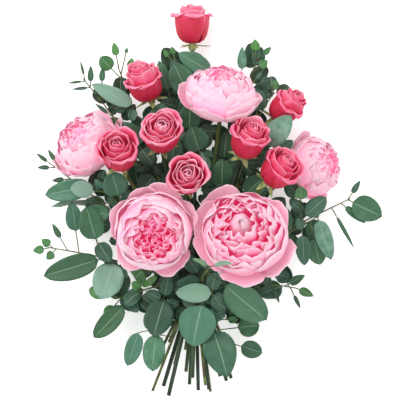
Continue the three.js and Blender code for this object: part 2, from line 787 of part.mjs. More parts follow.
for (let round = 0; round < settlingRounds; round++) {
  canes.forEach((a, i) => {
    for (const b of canes.slice(i + 1)) {
      for (let m = 2; m < a.knots.length - 1; m++) {
        for (let n = 2; n < b.knots.length - 1; n++) {
          const [s, t] = nearestShares(a.knots[m], a.knots[m + 1], b.knots[n], b.knots[n + 1]);
          const pointA = a.knots[m].clone().lerp(a.knots[m + 1], s);
          const pointB = b.knots[n].clone().lerp(b.knots[n + 1], t);
          const apart = pointB.sub(pointA);
          const room = m === 2 && n === 2 ? fitGap : caneRoom;
          const short = radiusAt(a, m) + radiusAt(b, n) + room - apart.length();
          if (short <= 0) continue;
          if (apart.length() < 1e-3) apart.set(0, 0, 1);
          apart.normalize().multiplyScalar(short / 2);
          shove(b, n, t, apart);
          shove(a, m, s, apart.negate());
        }
      }
    }
    for (const ball of keepClear) {
      if (ball.head === a.head) continue;
      for (let m = 2; m < a.knots.length - 1; m++) {
        const piece = new THREE.Line3(a.knots[m], a.knots[m + 1]);
        const near = piece.closestPointToPoint(ball.centre, true, new THREE.Vector3());
        const out = near.clone().sub(ball.centre);
        const short = ball.reach + radiusAt(a, m) - out.length();
        if (short <= 0) continue;
        const share = piece.closestPointToPointParameter(ball.centre, true);
        shove(a, m, share, out.normalize().multiplyScalar(short / 2));
      }
    }
    for (let k = firstFree; k < a.knots.length; k++) {
      const low = radiusAt(a, k) + tableRoom - a.knots[k].z;
      if (low > 0) nudge(a, k, new THREE.Vector3(0, 0, low));
    }
    if (round > smoothedRounds) return;
    for (let k = firstFree; k < a.knots.length - 1; k++) {
      const middle = a.knots[k - 1].clone().add(a.knots[k + 1]).multiplyScalar(0.5);
      nudge(a, k, middle.sub(a.knots[k]).multiplyScalar(smoothing));
    }
  });
}
for (const cane of canes) placed.set(cane.name, caneSolid(cane));

// ---------- the raffia tie ----------
// The outline that goes round all the canes at a distance, as a band pulled tight would.
const bandCorners = 12; // round each cane

function bandOutline(distance) {
  const points = [];
  for (const cane of canes) {
    for (let i = 0; i < bandCorners; i++) {
      const angle = (2 * Math.PI * i) / bandCorners;
      const reach = cane.radius + distance;
      points.push(
        new THREE.Vector2(
          cane.slot.x + reach * Math.cos(angle),
          cane.slot.y + reach * Math.sin(angle),
        ),
      );
    }
  }
  points.sort((a, b) => a.x - b.x || a.y - b.y);
  const halfHull = (list) => {
    const hull = [];
    for (const p of list) {
      while (hull.length > 1) {
        const [q, r] = hull.slice(-2);
        if ((r.x - q.x) * (p.y - q.y) - (r.y - q.y) * (p.x - q.x) > 0) break;
        hull.pop();
      }
      hull.push(p);
    }
    return hull.slice(0, -1);
  };
  return [...halfHull(points), ...halfHull([...points].reverse())];
}
const band = new THREE.Shape(bandOutline(fitGap + tieThickness));
band.holes.push(new THREE.Path(bandOutline(fitGap)));
const tieGeometry = new THREE.ExtrudeGeometry(band, { depth: tieWidth, bevelEnabled: false });
tieGeometry.rotateX(Math.PI / 2);
tieGeometry.translate(tiePoint.x, tiePoint.y + tieWidth / 2, tiePoint.z);
placed.set("raffia_tie", solidOf(tieGeometry));

// ---------- the leaves ----------
// A leaf that would cut another piece is lifted, turned about its length, swung round or joined
// further along its branch, as little as it can be, until it is clear.
const liftTries = [0, 5, -5, 10, -10, 16, -16, 24, -24, 32, -32, 42, -42, 56];
const turnTries = [0, 18, -18, 36, -36, 60, -60];
const swingTries = [0, 9, -9, 18, -18, 30, -30];
const slideTries = [0, 0.06, -0.06, 0.15, -0.15, 0.3, -0.3];
const lastShare = 0.985; // a leaf at the twig's end is joined just short of its tip
const hingeLength = 0.5; // of the stalk's end, which keeps clear of its own twig with the blade
const tries = [];
for (const lift of liftTries) {
  for (const turn of turnTries) {
    for (const swing of swingTries) {
      for (const slide of slideTries) {
        const bent = 2 * Math.abs(lift) + Math.abs(turn) + 4 * Math.abs(swing);
        const change = bent + 900 * Math.abs(slide);
        tries.push({ lift: lift, extraTurn: turn, swing: swing, slide: slide, change: change });
      }
    }
  }
}
tries.sort((a, b) => a.change - b.change);

// The place on a cane that a share gives: past the tie, or below it where the share is negative.
function placeOn(cane, share) {
  if (share < 0) return cane.knots[1].clone().lerp(cane.knots[0], -share);
  return new CanePath(cane.knots.slice(2)).getPointAt(Math.min(share, lastShare));
}

function fitLeaf(cane, twig, [share, tipAsked, lengthAsked, width, turn, footAsked]) {
  for (const { lift, extraTurn, swing, slide } of tries) {
    const shareTried = share + slide;
    if (shareTried < 0 !== share < 0 || Math.abs(shareTried) > 1) continue;
    const joint = placeOn(cane, shareTried);
    const pivot = footAsked || joint;
    const tip = tipAsked.clone().sub(pivot);
    tip.applyAxisAngle(new THREE.Vector3(0, 0, 1), THREE.MathUtils.degToRad(swing)).add(pivot);
    tip.z += lift;
    const foot = footAsked ? footAsked.clone() : tip.clone();
    if (footAsked) foot.z += lift / 2;
    else {
      const way = tip.clone().sub(joint);
      const length = Math.min(lengthAsked, way.length() - shortestPetiole);
      foot.addScaledVector(way.normalize(), -length);
    }
    const along = tip.clone().sub(foot).normalize();
    const up = new THREE.Vector3(0, 0, 1).applyAxisAngle(
      along,
      THREE.MathUtils.degToRad(turn + extraTurn),
    );
    const grown = tip.clone().addScaledVector(along, fitGap);
    const hinge = foot.clone().addScaledVector(along, -hingeLength);
    const room = (from) =>
      bladeSolid(
        from,
        foot,
        grown,
        width + 2 * fitGap,
        leafThickness + 3 * fitGap,
        petioleRadius + fitGap,
        up,
        leafDroop,
      );
    const bladeRoom = room(hinge);
    if (bladeRoom.boundingBox().min[2] < leafTableGap) continue;
    const leafRoom = room(joint);
    const clear = [...placed].every(([name, other]) =>
      name === cane.name
        ? !overlaps(bladeRoom, twig) && !overlaps(bladeRoom, other)
        : !overlaps(leafRoom, other),
    );
    if (!clear) continue;
    return bladeSolid(joint, foot, tip, width, leafThickness, petioleRadius, up, leafDroop);
  }
  throw new Error(cane.name + ": no room for the leaf with its tip at " + tipAsked.toArray());
}

const twigs = new Map();
for (const cane of canes) if (cane.branch) twigs.set(cane.name, placed.get(cane.name));
const mostLeaves = Math.max(...branches.map((branch) => branch.leaves.length));
for (let n = 0; n < mostLeaves; n++) {
  for (const cane of canes) {
    if (!cane.branch || n >= cane.branch.leaves.length) continue;
    const leaf = fitLeaf(cane, twigs.get(cane.name), cane.branch.leaves[n]);
    placed.set(cane.name, placed.get(cane.name).add(leaf));
  }
}

// ---------- the whole ----------
for (const cane of canes) {
  const material = cane.branch ? leafGreen : stemGreen;
  addMesh(bouquet, cane.name, geometryOf(placed.get(cane.name)), material);
}
addMesh(bouquet, "raffia_tie", geometryOf(placed.get("raffia_tie")), raffia);

// The origin is under the middle of the bouquet, on the table.
const box = new THREE.Box3().setFromObject(bouquet, true);
for (const piece of bouquet.children) {
  piece.position.x -= (box.min.x + box.max.x) / 2;
  piece.position.y -= (box.min.y + box.max.y) / 2;
  piece.position.z -= box.min.z;
}

export default bouquet;
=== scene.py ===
# A hand-tied bouquet of peonies, roses and eucalyptus, lying on its back on a table.
# Metres, in the CAD model's frame: +Y towards the top flowers, +Z up, where the open flowers face.
import heapq
import math
import random

import bmesh
import bpy
from mathutils import Matrix, Vector, noise


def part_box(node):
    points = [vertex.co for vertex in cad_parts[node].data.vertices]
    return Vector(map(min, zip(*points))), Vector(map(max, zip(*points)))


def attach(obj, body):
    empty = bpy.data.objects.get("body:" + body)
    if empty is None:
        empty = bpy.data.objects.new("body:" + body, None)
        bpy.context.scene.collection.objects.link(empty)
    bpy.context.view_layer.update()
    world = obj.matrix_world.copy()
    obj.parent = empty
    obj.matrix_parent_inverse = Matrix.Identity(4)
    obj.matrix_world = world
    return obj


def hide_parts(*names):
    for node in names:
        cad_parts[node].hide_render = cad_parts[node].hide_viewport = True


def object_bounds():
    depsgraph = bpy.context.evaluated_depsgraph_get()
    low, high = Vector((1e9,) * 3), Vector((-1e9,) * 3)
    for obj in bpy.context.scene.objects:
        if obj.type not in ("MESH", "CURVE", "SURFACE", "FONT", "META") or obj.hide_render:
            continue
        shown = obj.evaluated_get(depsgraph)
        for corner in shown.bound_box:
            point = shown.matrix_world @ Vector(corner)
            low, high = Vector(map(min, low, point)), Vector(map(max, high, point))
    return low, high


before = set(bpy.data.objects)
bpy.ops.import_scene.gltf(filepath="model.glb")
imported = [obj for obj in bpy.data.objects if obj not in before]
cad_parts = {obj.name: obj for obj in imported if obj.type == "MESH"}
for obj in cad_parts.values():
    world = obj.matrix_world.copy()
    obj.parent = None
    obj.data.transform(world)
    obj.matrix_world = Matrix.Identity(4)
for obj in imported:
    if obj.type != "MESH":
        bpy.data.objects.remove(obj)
cad_box = [[float(value) for value in corner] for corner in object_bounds()]

# ---------- flower stems ----------
# The stems of the peonies and roses are fleshy green canes, stripped of their leaves below the
# tie and cut square at the foot. The skin is waxy, darker where it was shaded, and the cut is pale.
MM = 0.001
weld = 0.01 * MM
stem_smoothing = 2
stem_greens = [(0.2, "#16301c"), (0.55, "#2c4a22"), (1, "#6d7426")]  # shaded, sunlit, ripe
streak_size = 2.5 * MM
vessel_size = 0.8 * MM
ripest = 0.7
golden_share = 0.618  # spreads the stems' ripeness evenly
cut_slope = -0.8  # how far down the stem the normal of a cut face points
cut_depth = 2 * MM


def linear(colour):
    """An sRGB hex value as the linear colour that a shader takes."""
    channels = [int(colour[i : i + 2], 16) / 255 for i in (1, 3, 5)]
    return [c / 12.92 if c <= 0.04045 else ((c + 0.055) / 1.055) ** 2.4 for c in channels] + [1]


def add_node(tree, kind, inputs, stops=(), **settings):
    """Adds a node with its settings. An input is a value or the socket that feeds it."""
    node = tree.nodes.new(kind)
    for name, value in settings.items():
        setattr(node, name, value)
    for name, value in inputs.items():
        if isinstance(value, bpy.types.NodeSocket):
            tree.links.new(value, node.inputs[name])
        else:
            node.inputs[name].default_value = value
    while stops and len(node.color_ramp.elements) < len(stops):
        node.color_ramp.elements.new(1)
    for i, (place, colour) in enumerate(stops):
        node.color_ramp.elements[i].position = place
        node.color_ramp.elements[i].color = linear(colour)
    return node


def maths(tree, operation, *values):
    """A maths node, its inputs in order."""
    return add_node(tree, "ShaderNodeMath", dict(enumerate(values)), operation=operation)


def new_material(name):
    """An empty material with its shader, ready for the nodes that feed it."""
    material = bpy.data.materials.new(name)
    material.use_nodes = True
    return material, material.node_tree, material.node_tree.nodes["Principled BSDF"]


def cad_copy(node):
    """A CAD node's mesh as a bmesh of its own, its loose triangles joined."""
    bm = bmesh.new()
    bm.from_mesh(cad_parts[node].data)
    bmesh.ops.remove_doubles(bm, verts=bm.verts, dist=weld)
    return bm


def add_piece(bm, name, materials, replaced=()):
    """Makes the bmesh an object of the bouquet that rides on its one body."""
    mesh = bpy.data.meshes.new(name)
    bm.to_mesh(mesh)
    bm.free()
    mesh.shade_smooth()
    for material in materials:
        mesh.materials.append(material)
    piece = bpy.data.objects.new(name, mesh)
    bpy.context.scene.collection.objects.link(piece)
    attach(piece, "root")
    if replaced:
        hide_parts(*replaced)
    return piece


def smooth_over(piece, levels):
    """Rounds a piece with the same levels in every use."""
    modifier = piece.modifiers.new("rounding", "SUBSURF")
    modifier.levels = levels
    modifier.render_levels = levels


def stem_skin():
    """The waxy skin of a fresh stem: fine lengthwise streaks, each stem of its own ripeness."""
    material, tree, shader = new_material("fresh flower stem")
    coords = add_node(tree, "ShaderNodeTexCoord", {})
    stretched = add_node(
        tree,
        "ShaderNodeMapping",
        {"Vector": coords.outputs["Object"], "Scale": (1, 0.12, 1)},
    )
    streaks = add_node(
        tree,
        "ShaderNodeTexNoise",
        {"Vector": stretched.outputs["Vector"], "Scale": 1 / streak_size, "Detail": 3},
    )
    ripeness = add_node(tree, "ShaderNodeAttribute", {}, attribute_name="tone")
    blend = maths(tree, "MULTIPLY_ADD", streaks.outputs["Fac"], 0.45, ripeness.outputs["Fac"])
    colour = add_node(
        tree,
        "ShaderNodeValToRGB",
        {"Fac": blend.outputs["Value"]},
        stops=stem_greens,
    )
    bump = add_node(
        tree,
        "ShaderNodeBump",
        {"Height": streaks.outputs["Fac"], "Strength": 0.5, "Distance": 0.3 * MM},
    )
    tree.links.new(colour.outputs["Color"], shader.inputs["Base Color"])
    tree.links.new(bump.outputs["Normal"], shader.inputs["Normal"])
    shader.inputs["Roughness"].default_value = 0.42
    return material


def cut_face():
    """The pale pith of a fresh cut, with darker vessels."""
    material, tree, shader = new_material("cut stem pith")
    coords = add_node(tree, "ShaderNodeTexCoord", {})
    vessels = add_node(
        tree,
        "ShaderNodeTexVoronoi",
        {"Vector": coords.outputs["Object"], "Scale": 1 / vessel_size},
    )
    colour = add_node(
        tree,
        "ShaderNodeValToRGB",
        {"Fac": vessels.outputs["Distance"]},
        stops=[(0, "#8c9460"), (0.5, "#b9bf8a"), (1, "#d8dcb4")],
    )
    tree.links.new(colour.outputs["Color"], shader.inputs["Base Color"])
    shader.inputs["Roughness"].default_value = 0.7
    return material


stem_material = stem_skin()
cut_material = cut_face()
flowers = [f"peony_{i}" for i in range(1, 6)] + [f"rose_{i}" for i in range(1, 9)]


def mark_cut(bm):
    """Gives the cut face its own material and a crisp edge."""
    lowest = min(vertex.co.y for vertex in bm.verts)
    crease = bm.edges.layers.float.new("crease_edge")
    for face in bm.faces:
        if face.normal.y < cut_slope and face.calc_center_median().y < lowest + cut_depth:
            face.material_index = 1
            for edge in face.edges:
                if any(other.normal.y > cut_slope for other in edge.link_faces):
                    edge[crease] = 1


for number, flower in enumerate(flowers):
    bm = cad_copy(f"{flower}_stem")
    mark_cut(bm)
    tone = bm.verts.layers.float.new("tone")
    for vertex in bm.verts:
        vertex[tone] = ripest * ((number * golden_share) % 1) ** 2
    stem = add_piece(
        bm, f"{flower}_cane", [stem_material, cut_material], [f"{flower}_stem"]
    )
    smooth_over(stem, stem_smoothing)

# ---------- eucalyptus ----------
# Fifteen cut branches. Each grew as one piece: a thin woody twig with stalked leaves, broad and
# round near its foot and narrow at its tip. The leaves are leathery, with a blue-green wax bloom.
leaf_rows = 12
leaf_columns = 8
leaf_skin = 0.45 * MM
leaf_fold = 0.16  # rise of the blade's sides, as a share of their width
leaf_wave = 0.05
waves_along = 9
drift_along = 3
blunt_point, sharp_point = (0.55, 0.75), 0.9  # how sharply broad and narrow leaves end
young_length = 27 * MM
rim_angle = math.radians(125)  # a blade's rim is sharper than any edge of a twig
widest_tip = math.radians(100)
ridge_reach = 1.5 * MM
narrow_leaf = 15 * MM
fewest_rim_points = 6
most_uneven = 0.45  # how unlike a blade's two sides may be
# How pale each leaf is, from 0 to 1: partly its wax bloom, from none to chalky, and partly painted
# shade, lower for leaves that lie in the shade of others. A row for each branch, with its lowest
# leaf first.
leaf_bloom_and_shade = [
    [0.9, 0.3, 0.36, 0.45, 0.5, 0.5, 0.35, 0.35, 0.42, 0.5],
    [0.55, 0.5, 0.6, 0.45, 0.85, 0.55],
    [0.4, 0.35, 0.3, 0.9, 0.4, 0.3, 0.5, 0.4],
    [0.35, 0.3, 0.25, 0.3, 0.4, 0.35, 0.3],
    [0.4, 0.3, 0.5, 0.3, 0.25, 0.3],
    [0.72, 0.62, 0.36, 0.34, 0.35, 0.35, 0.4, 0.35, 0.2],
    [0.3, 0.3, 0.35, 0.3],
    [0.4, 0.7, 0.52, 0.85, 1.0, 1.0],
    [0.4, 0.5, 0.4, 0.3, 0.3, 0.3, 0.35],
    [0.3, 0.25, 0.4, 0.3, 0.3, 0.35, 0.4],
    [0.5, 0.45, 0.78, 0.3, 0.3, 0.55, 0.65],
    [0.3, 0.25, 0.4, 0.35, 0.42, 0.4],
    [0.3, 0.35, 0.65, 0.8, 0.3, 0.6, 0.5],
    [0.4, 0.8, 0.3, 0.4, 0.4, 0.4, 0.4, 0.65, 0.4],
    [0.4, 0.35, 0.45, 0.5, 0.7, 0.5, 0.5],
]
least_blade = 2 * MM
patch_size = 9 * MM
vein_count = 80
shade_height = 70 * MM  # inner leaves that lie lower than this are painted darker, as painted shade
stalk_slimming = 0.12 * MM
table_gap = 0.8 * MM  # nothing sinks into what the bouquet lies on
rng = random.Random(7)


def rim_chains(bm):
    """The rims of the blades, each as its vertices from one side of the foot to the other."""
    bm.edges.index_update()
    bm.verts.index_update()
    rim = {e for e in bm.edges if e.is_manifold and e.calc_face_angle() > rim_angle}
    chains = []
    while rim:
        first = min(rim, key=lambda edge: edge.index)
        rim.discard(first)
        row = list(first.verts)
        for end in (0, -1):
            while True:
                steps = [edge for edge in row[end].link_edges if edge in rim]
                if not steps:
                    break
                step = min(steps, key=lambda edge: edge.index)
                rim.discard(step)
                row.insert(0 if end == 0 else len(row), step.other_vert(row[end]))
        chains.append(row if row[0].index < row[-1].index else row[::-1])
    return chains


def tip_of(row):
    """The place in a rim's row of its tip, where both sides match, or None where it is no blade."""
    best = None
    for i in range(1, len(row) - 1):
        reach = min(i, len(row) - 1 - i)
        uneven = 0
        for k in range(reach):
            left = (row[i - k].co - row[i - k - 1].co).length
            right = (row[i + k].co - row[i + k + 1].co).length
            uneven += abs(left - right) / max(left, right)
        score = uneven / reach + 0.2 * (max(i, len(row) - 1 - i) - reach)
        if best is None or score < best[0]:
            best = (score, i)
    if best is None or best[0] > most_uneven:
        return None
    i = best[1]
    opening = (row[i - 1].co - row[i].co).angle(row[i + 1].co - row[i].co)
    return None if len(row) < fewest_rim_points and opening > widest_tip else i


def lift_blades(bm):
    """Takes the plain blades off a branch, leaving twig and stalks, and says where they were."""
    blades = []
    doomed = set()
    for row in rim_chains(bm):
        tip_at = tip_of(row)
        if tip_at is None:
            continue
        stations = 3 if len(row) >= fewest_rim_points else 1
        pairs = [(row[tip_at - k], row[tip_at + k]) for k in range(1, stations + 1)]
        left, right = pairs[stations // 2]
        if (left.co - right.co).length < least_blade:
            continue
        middle = (left.co + right.co) / 2
        blades.append(
            {
                "tip": row[tip_at].co.copy(),
                "middle": middle,
                "side": (left.co - right.co).normalized(),
                "width": (left.co - right.co).length,
            }
        )
        doomed.add(row[tip_at])
        for pair in pairs:
            centre = (pair[0].co + pair[1].co) / 2
            doomed.update(pair)
            for edge in pair[0].link_edges:
                other = edge.other_vert(pair[0])
                if (other.co - centre).length < ridge_reach:
                    doomed.add(other)
    doomed = sorted(doomed, key=lambda vertex: vertex.index)
    bmesh.ops.delete(bm, geom=doomed, context="VERTS")
    bm.verts.index_update()
    open_edges = [e for e in bm.edges if e.is_boundary]
    feet = []
    while open_edges:
        ring = {open_edges.pop()}
        grown = True
        while grown:
            corners = {v for e in ring for v in e.verts}
            more = [e for e in open_edges if corners & set(e.verts)]
            open_edges = [e for e in open_edges if e not in more]
            ring.update(more)
            grown = bool(more)
        corners = sorted({v for e in ring for v in e.verts}, key=lambda vertex: vertex.index)
        feet.append(sum((v.co for v in corners), Vector()) / len(corners))
    bmesh.ops.holes_fill(bm, edges=[e for e in bm.edges if e.is_boundary], sides=0)
    for blade in blades:
        chord = blade["middle"] - blade["tip"]
        guess = blade["middle"] + chord
        blade["foot"] = min(feet, key=lambda foot: (foot - guess).length)
    return sorted(blades, key=lambda blade: blade["tip"].y)


def grow_blade(bm, foot, tip, middle, side, width, point, fold, wave, tone, fresh=0):
    """A thin blade on a grid, from foot to tip, arched through the middle, folded on its midrib."""
    tones = bm.verts.layers.float.get("tone") or bm.verts.layers.float.new("tone")
    youth = bm.verts.layers.float.get("fresh") or bm.verts.layers.float.new("fresh")
    bm.loops.layers.uv.verify()
    grid = bmesh.ops.create_grid(
        bm, x_segments=leaf_columns, y_segments=leaf_rows, size=1, calc_uvs=True
    )
    along = tip - foot
    face = side.cross(along).normalized()
    if face.z < 0:
        face.negate()
    bow = (middle - (foot + tip) / 2).dot(face)
    peak = 0.5 / (0.5 + point)
    fullest = math.sqrt(peak) * (1 - peak) ** point
    phase = rng.uniform(0, 6.3)
    for vertex in grid["verts"]:
        across = vertex.co.x
        share = (vertex.co.y + 1) / 2
        half = width / 2 * math.sqrt(share) * (1 - share) ** point / fullest
        rise = 4 * bow * share * (1 - share)
        rise += fold * half * abs(across) ** 1.4
        rise += wave * width * across**2 * math.sin(waves_along * share + phase + 1.5 * across)
        drift = wave * width * math.sin(drift_along * share + phase) * share * (1 - share)
        vertex.co = foot + along * share + side * (across * half + drift) + face * rise
        vertex.co.z = max(vertex.co.z, table_gap)
        vertex[tones] = tone
        vertex[youth] = fresh
    return grid["verts"]


def leaf_material():
    """A eucalyptus leaf's leathery skin: a dull wax bloom with painted shade, a pale midrib and
    fine side veins.
    """
    material, tree, shader = new_material("waxy eucalyptus leaf")
    coords = add_node(tree, "ShaderNodeTexCoord", {})
    parts = add_node(tree, "ShaderNodeSeparateXYZ", {"Vector": coords.outputs["UV"]})
    tone = add_node(tree, "ShaderNodeAttribute", {}, attribute_name="tone")
    patch_scale = 1 / patch_size
    patches = add_node(
        tree,
        "ShaderNodeTexNoise",
        {"Vector": coords.outputs["Object"], "Scale": patch_scale, "Detail": 4},
    )
    # The tone holds the wax bloom and painted shade: its lowest stops give the near-black green of
    # leaves painted as lying in shadow.
    shade = maths(tree, "MULTIPLY_ADD", patches.outputs["Fac"], 0.3, tone.outputs["Fac"])
    bloom = add_node(
        tree,
        "ShaderNodeValToRGB",
        {"Fac": shade.outputs["Value"]},
        stops=[
            (0.12, "#101f15"),
            (0.3, "#1f4029"),
            (0.55, "#2f5a44"),
            (0.85, "#4c7d68"),
            (1, "#80a594"),
        ],
    )
    youth = add_node(tree, "ShaderNodeAttribute", {}, attribute_name="fresh")
    greened = add_node(
        tree,
        "ShaderNodeMix",
        {"Factor": youth.outputs["Fac"], "A": bloom.outputs["Color"], "B": linear("#4d8a3a")},
        data_type="RGBA",
    )
    off_rib = maths(tree, "SUBTRACT", parts.outputs["X"], 0.5)
    from_rib = maths(tree, "ABSOLUTE", off_rib.outputs["Value"])
    midrib = add_node(
        tree,
        "ShaderNodeMapRange",
        {
            "Value": from_rib.outputs["Value"],
            "From Min": 0.006,
            "From Max": 0.028,
            "To Min": 1,
            "To Max": 0,
        },
    )
    slant = maths(tree, "MULTIPLY_ADD", from_rib.outputs["Value"], -0.9, parts.outputs["Y"])
    vein_waves = maths(tree, "MULTIPLY", slant.outputs["Value"], vein_count)
    vein_sine = maths(tree, "SINE", vein_waves.outputs["Value"])
    side_veins = add_node(
        tree,
        "ShaderNodeMapRange",
        {"Value": vein_sine.outputs["Value"], "From Min": 0.8, "From Max": 1, "To Max": 0.12},
    )
    veins = maths(tree, "MAXIMUM", midrib.outputs["Result"], side_veins.outputs["Result"])
    weight = maths(tree, "MULTIPLY", veins.outputs["Value"], 0.6)
    veined = add_node(
        tree,
        "ShaderNodeMix",
        {"Factor": weight.outputs["Value"], "A": greened.outputs["Result"], "B": linear("#98bb9a")},
        data_type="RGBA",
    )
    bump = add_node(
        tree,
        "ShaderNodeBump",
        {"Height": veins.outputs["Value"], "Strength": 0.35, "Distance": 0.4 * MM},
    )
    tree.links.new(veined.outputs["Result"], shader.inputs["Base Color"])
    tree.links.new(bump.outputs["Normal"], shader.inputs["Normal"])
    shader.inputs["Roughness"].default_value = 0.5
    shader.inputs["Sheen Weight"].default_value = 0.08
    return material


def grained_skin(name, grain, stretch, stops, relief, depth, roughness):
    """A skin that one grain colours and roughens. The stretch below 1 draws the grain out."""
    material, tree, shader = new_material(name)
    coords = add_node(tree, "ShaderNodeTexCoord", {})
    stretched = add_node(
        tree, "ShaderNodeMapping", {"Vector": coords.outputs["Object"], "Scale": stretch}
    )
    pattern = add_node(
        tree,
        "ShaderNodeTexNoise",
        {"Vector": stretched.outputs["Vector"], "Scale": 1 / grain[0], "Detail": grain[1]},
    )
    colour = add_node(tree, "ShaderNodeValToRGB", {"Fac": pattern.outputs["Fac"]}, stops=stops)
    bump = add_node(
        tree,
        "ShaderNodeBump",
        {"Height": pattern.outputs["Fac"], "Strength": relief, "Distance": depth},
    )
    tree.links.new(colour.outputs["Color"], shader.inputs["Base Color"])
    tree.links.new(bump.outputs["Normal"], shader.inputs["Normal"])
    shader.inputs["Roughness"].default_value = roughness
    return material


eucalyptus_leaf = leaf_material()
# Young bark is yellow-green where new and reddish brown where it has turned to wood.
eucalyptus_bark = grained_skin(
    "young eucalyptus bark",
    grain=(12 * MM, 5),
    stretch=(1, 1, 1),
    stops=[(0.3, "#4a3c24"), (0.5, "#4f5c2c"), (0.7, "#7d8f4c")],
    relief=0.4,
    depth=0.3 * MM,
    roughness=0.6,
)

petal_node = {"peony": "guard_petals", "rose": "petals"}
bloom_height = {"peony": 60 * MM, "rose": 54 * MM}
below_bloom = 12 * MM  # the room that the sepals take


def flower_place(flower):
    """The flower's own frame, with its base at the origin and its axis along Z, and its sizes."""
    kind = flower.split("_")[0]
    crown = cad_copy(f"{flower}_{petal_node[kind]}")
    calyx = cad_copy(f"{flower}_sepals")
    centres = [sum((v.co for v in bm.verts), Vector()) / len(bm.verts) for bm in (crown, calyx)]
    axis = (centres[0] - centres[1]).normalized()
    base = min(v.co.dot(axis) for v in crown.verts)
    foot = centres[0] + axis * (base - centres[0].dot(axis))
    turn = Vector((0, 0, 1)).rotation_difference(axis).to_matrix().to_4x4()
    place = Matrix.Translation(foot) @ turn
    inward = place.inverted()
    calyx_points = [inward @ v.co for v in calyx.verts]
    radius = max((inward @ v.co).xy.length for v in crown.verts)
    crown.free()
    calyx.free()
    return {
        "flower": flower,
        "matrix": place,
        "inward": inward,
        "radius": radius,
        "height": bloom_height[kind],
        "calyx_depth": -min(p.z for p in calyx_points),
        "calyx_reach": max(p.xy.length for p in calyx_points),
    }


places = {flower: flower_place(flower) for flower in flowers}


def in_a_flower(point, spare, other_than=None):
    """Whether a point lies in a bloom, or nearer to one than the spare room allows."""
    for flower, bloom_place in places.items():
        local = bloom_place["inward"] @ point
        if flower != other_than and local.xy.length < bloom_place["radius"] + spare:
            if -below_bloom < local.z < bloom_place["height"] + spare:
                return True
    return False


cell = 4 * MM  # the gaps between the flowers are looked for on squares of this size
covered = {}  # how many leaves hide each square
levels = {}  # the leaves in each square, with their heights
outer_leaves = []  # whether each leaf so far is one of the large outer ones
leaf_room = 2.5 * MM


def square_of(point):
    """The square of the plan that a point is in."""
    return round(point.x / cell), round(point.y / cell)


def cover(vertices, is_outer):
    """Notes the squares of the plan that a leaf hides, and how high it lies in each."""
    leaf = len(outer_leaves)
    outer_leaves.append(is_outer)
    for vertex in vertices:
        levels.setdefault(square_of(vertex.co), []).append((leaf, vertex.co.z))
    for spot in {square_of(vertex.co) for vertex in vertices}:
        covered[spot] = covered.get(spot, 0) + 1


def cuts_a_leaf(points):
    """Whether a blade through these points would cut another leaf or lie over an outer one."""
    sides = {}
    for point in points:
        for leaf, level in levels.get(square_of(point), []):
            above = point.z > level
            if abs(point.z - level) < leaf_room or sides.setdefault(leaf, above) != above:
                return True
            if above and outer_leaves[leaf]:
                return True
    return False


anchors = []  # the points of the twigs that a stalk can grow from
sheets = {}  # each branch's leaves

for number, bloom_and_shade_row in enumerate(leaf_bloom_and_shade, start=1):
    twig = cad_copy(f"eucalyptus_branch_{number}")
    blades = lift_blades(twig)
    leaves = bmesh.new()
    for k, blade in enumerate(blades):
        broad = blade["width"] > narrow_leaf
        length = (blade["tip"] - blade["foot"]).length
        young = length < young_length and blade["width"] > 0.5 * length
        grown = grow_blade(
            leaves,
            blade["foot"],
            blade["tip"],
            blade["middle"],
            blade["side"],
            blade["width"],
            rng.uniform(*blunt_point) if broad else sharp_point,
            leaf_fold * rng.uniform(0.4, 1.5),
            leaf_wave * rng.uniform(0.5, 1.4),
            bloom_and_shade_row[min(k, len(bloom_and_shade_row) - 1)] + rng.uniform(-0.05, 0.05),
            rng.uniform(0.4, 0.9) if young else rng.uniform(0, 0.2),
        )
        cover(grown, True)
    anchors += [(number, vertex.co.copy()) for vertex in twig.verts]
    for vertex in twig.verts:
        vertex.co -= vertex.normal * stalk_slimming
    add_piece(twig, f"eucalyptus_{number}_twig", [eucalyptus_bark])
    sheets[number] = leaves

# The small inner leaves of the same branches, which fill the gaps between the flowers. They lie
# deep in the bunch, each on a short stalk of its own from the nearest twig.
crowd_reach = 103 * MM
crowd = 3  # a gap counts as inside the bunch where it has this many flowers within reach
neck_centre = Vector((-0.018, -0.1))
neck_size = Vector((0.125, 0.07))
neck_level = 75 * MM  # there the leaves lie over the stems, and elsewhere under the flowers
deep_level = 45 * MM
inner_layers = 4
inner_tries = 14
root_choices = 12
root_miss = 26 * MM  # how far a root may be from the place that suits the leaf best
shrink = 0.12  # how much smaller the leaves of each deeper layer are
inner_length = (26 * MM, 44 * MM)
inner_stalk = (4 * MM, 9 * MM)
inner_shape = (0.6, 0.85)
swing_reach = 0.4
lowest_tip = 6 * MM
stalk_radius = 0.5 * MM
blade_probes = [(0, 0), (1, 0)] + [
    (share, edge) for share in (0.2, 0.4, 0.6, 0.8) for edge in (-0.9, -0.4, 0, 0.4, 0.9)
]
ring_squares = 14
rim_squares = 80
columns = math.ceil(cad_box[1][0] / cell)
rows = math.ceil(cad_box[1][1] / cell)

for place in places.values():
    for ring in range(1, ring_squares + 1):
        for k in range(rim_squares):
            angle = 2 * math.pi * k / rim_squares
            reach = place["radius"] * ring / ring_squares
            for height in (0.3, 0.9):
                rim_point = Vector(
                    (reach * math.cos(angle), reach * math.sin(angle), place["height"] * height)
                )
                spot = place["matrix"] @ rim_point
                covered[square_of(spot)] = inner_layers


def at_neck(point):
    """Whether a place in the plan is over the stems, just above the tie."""
    off = point - neck_centre
    return math.hypot(off.x / neck_size.x, off.y / neck_size.y) < 1


def inside_bunch(point):
    """Whether a place in the plan is one that the bunch fills with leaves."""
    near = sum(
        1
        for place in places.values()
        if (place["matrix"].translation.xy - point).length < crowd_reach
    )
    return near >= crowd or at_neck(point)


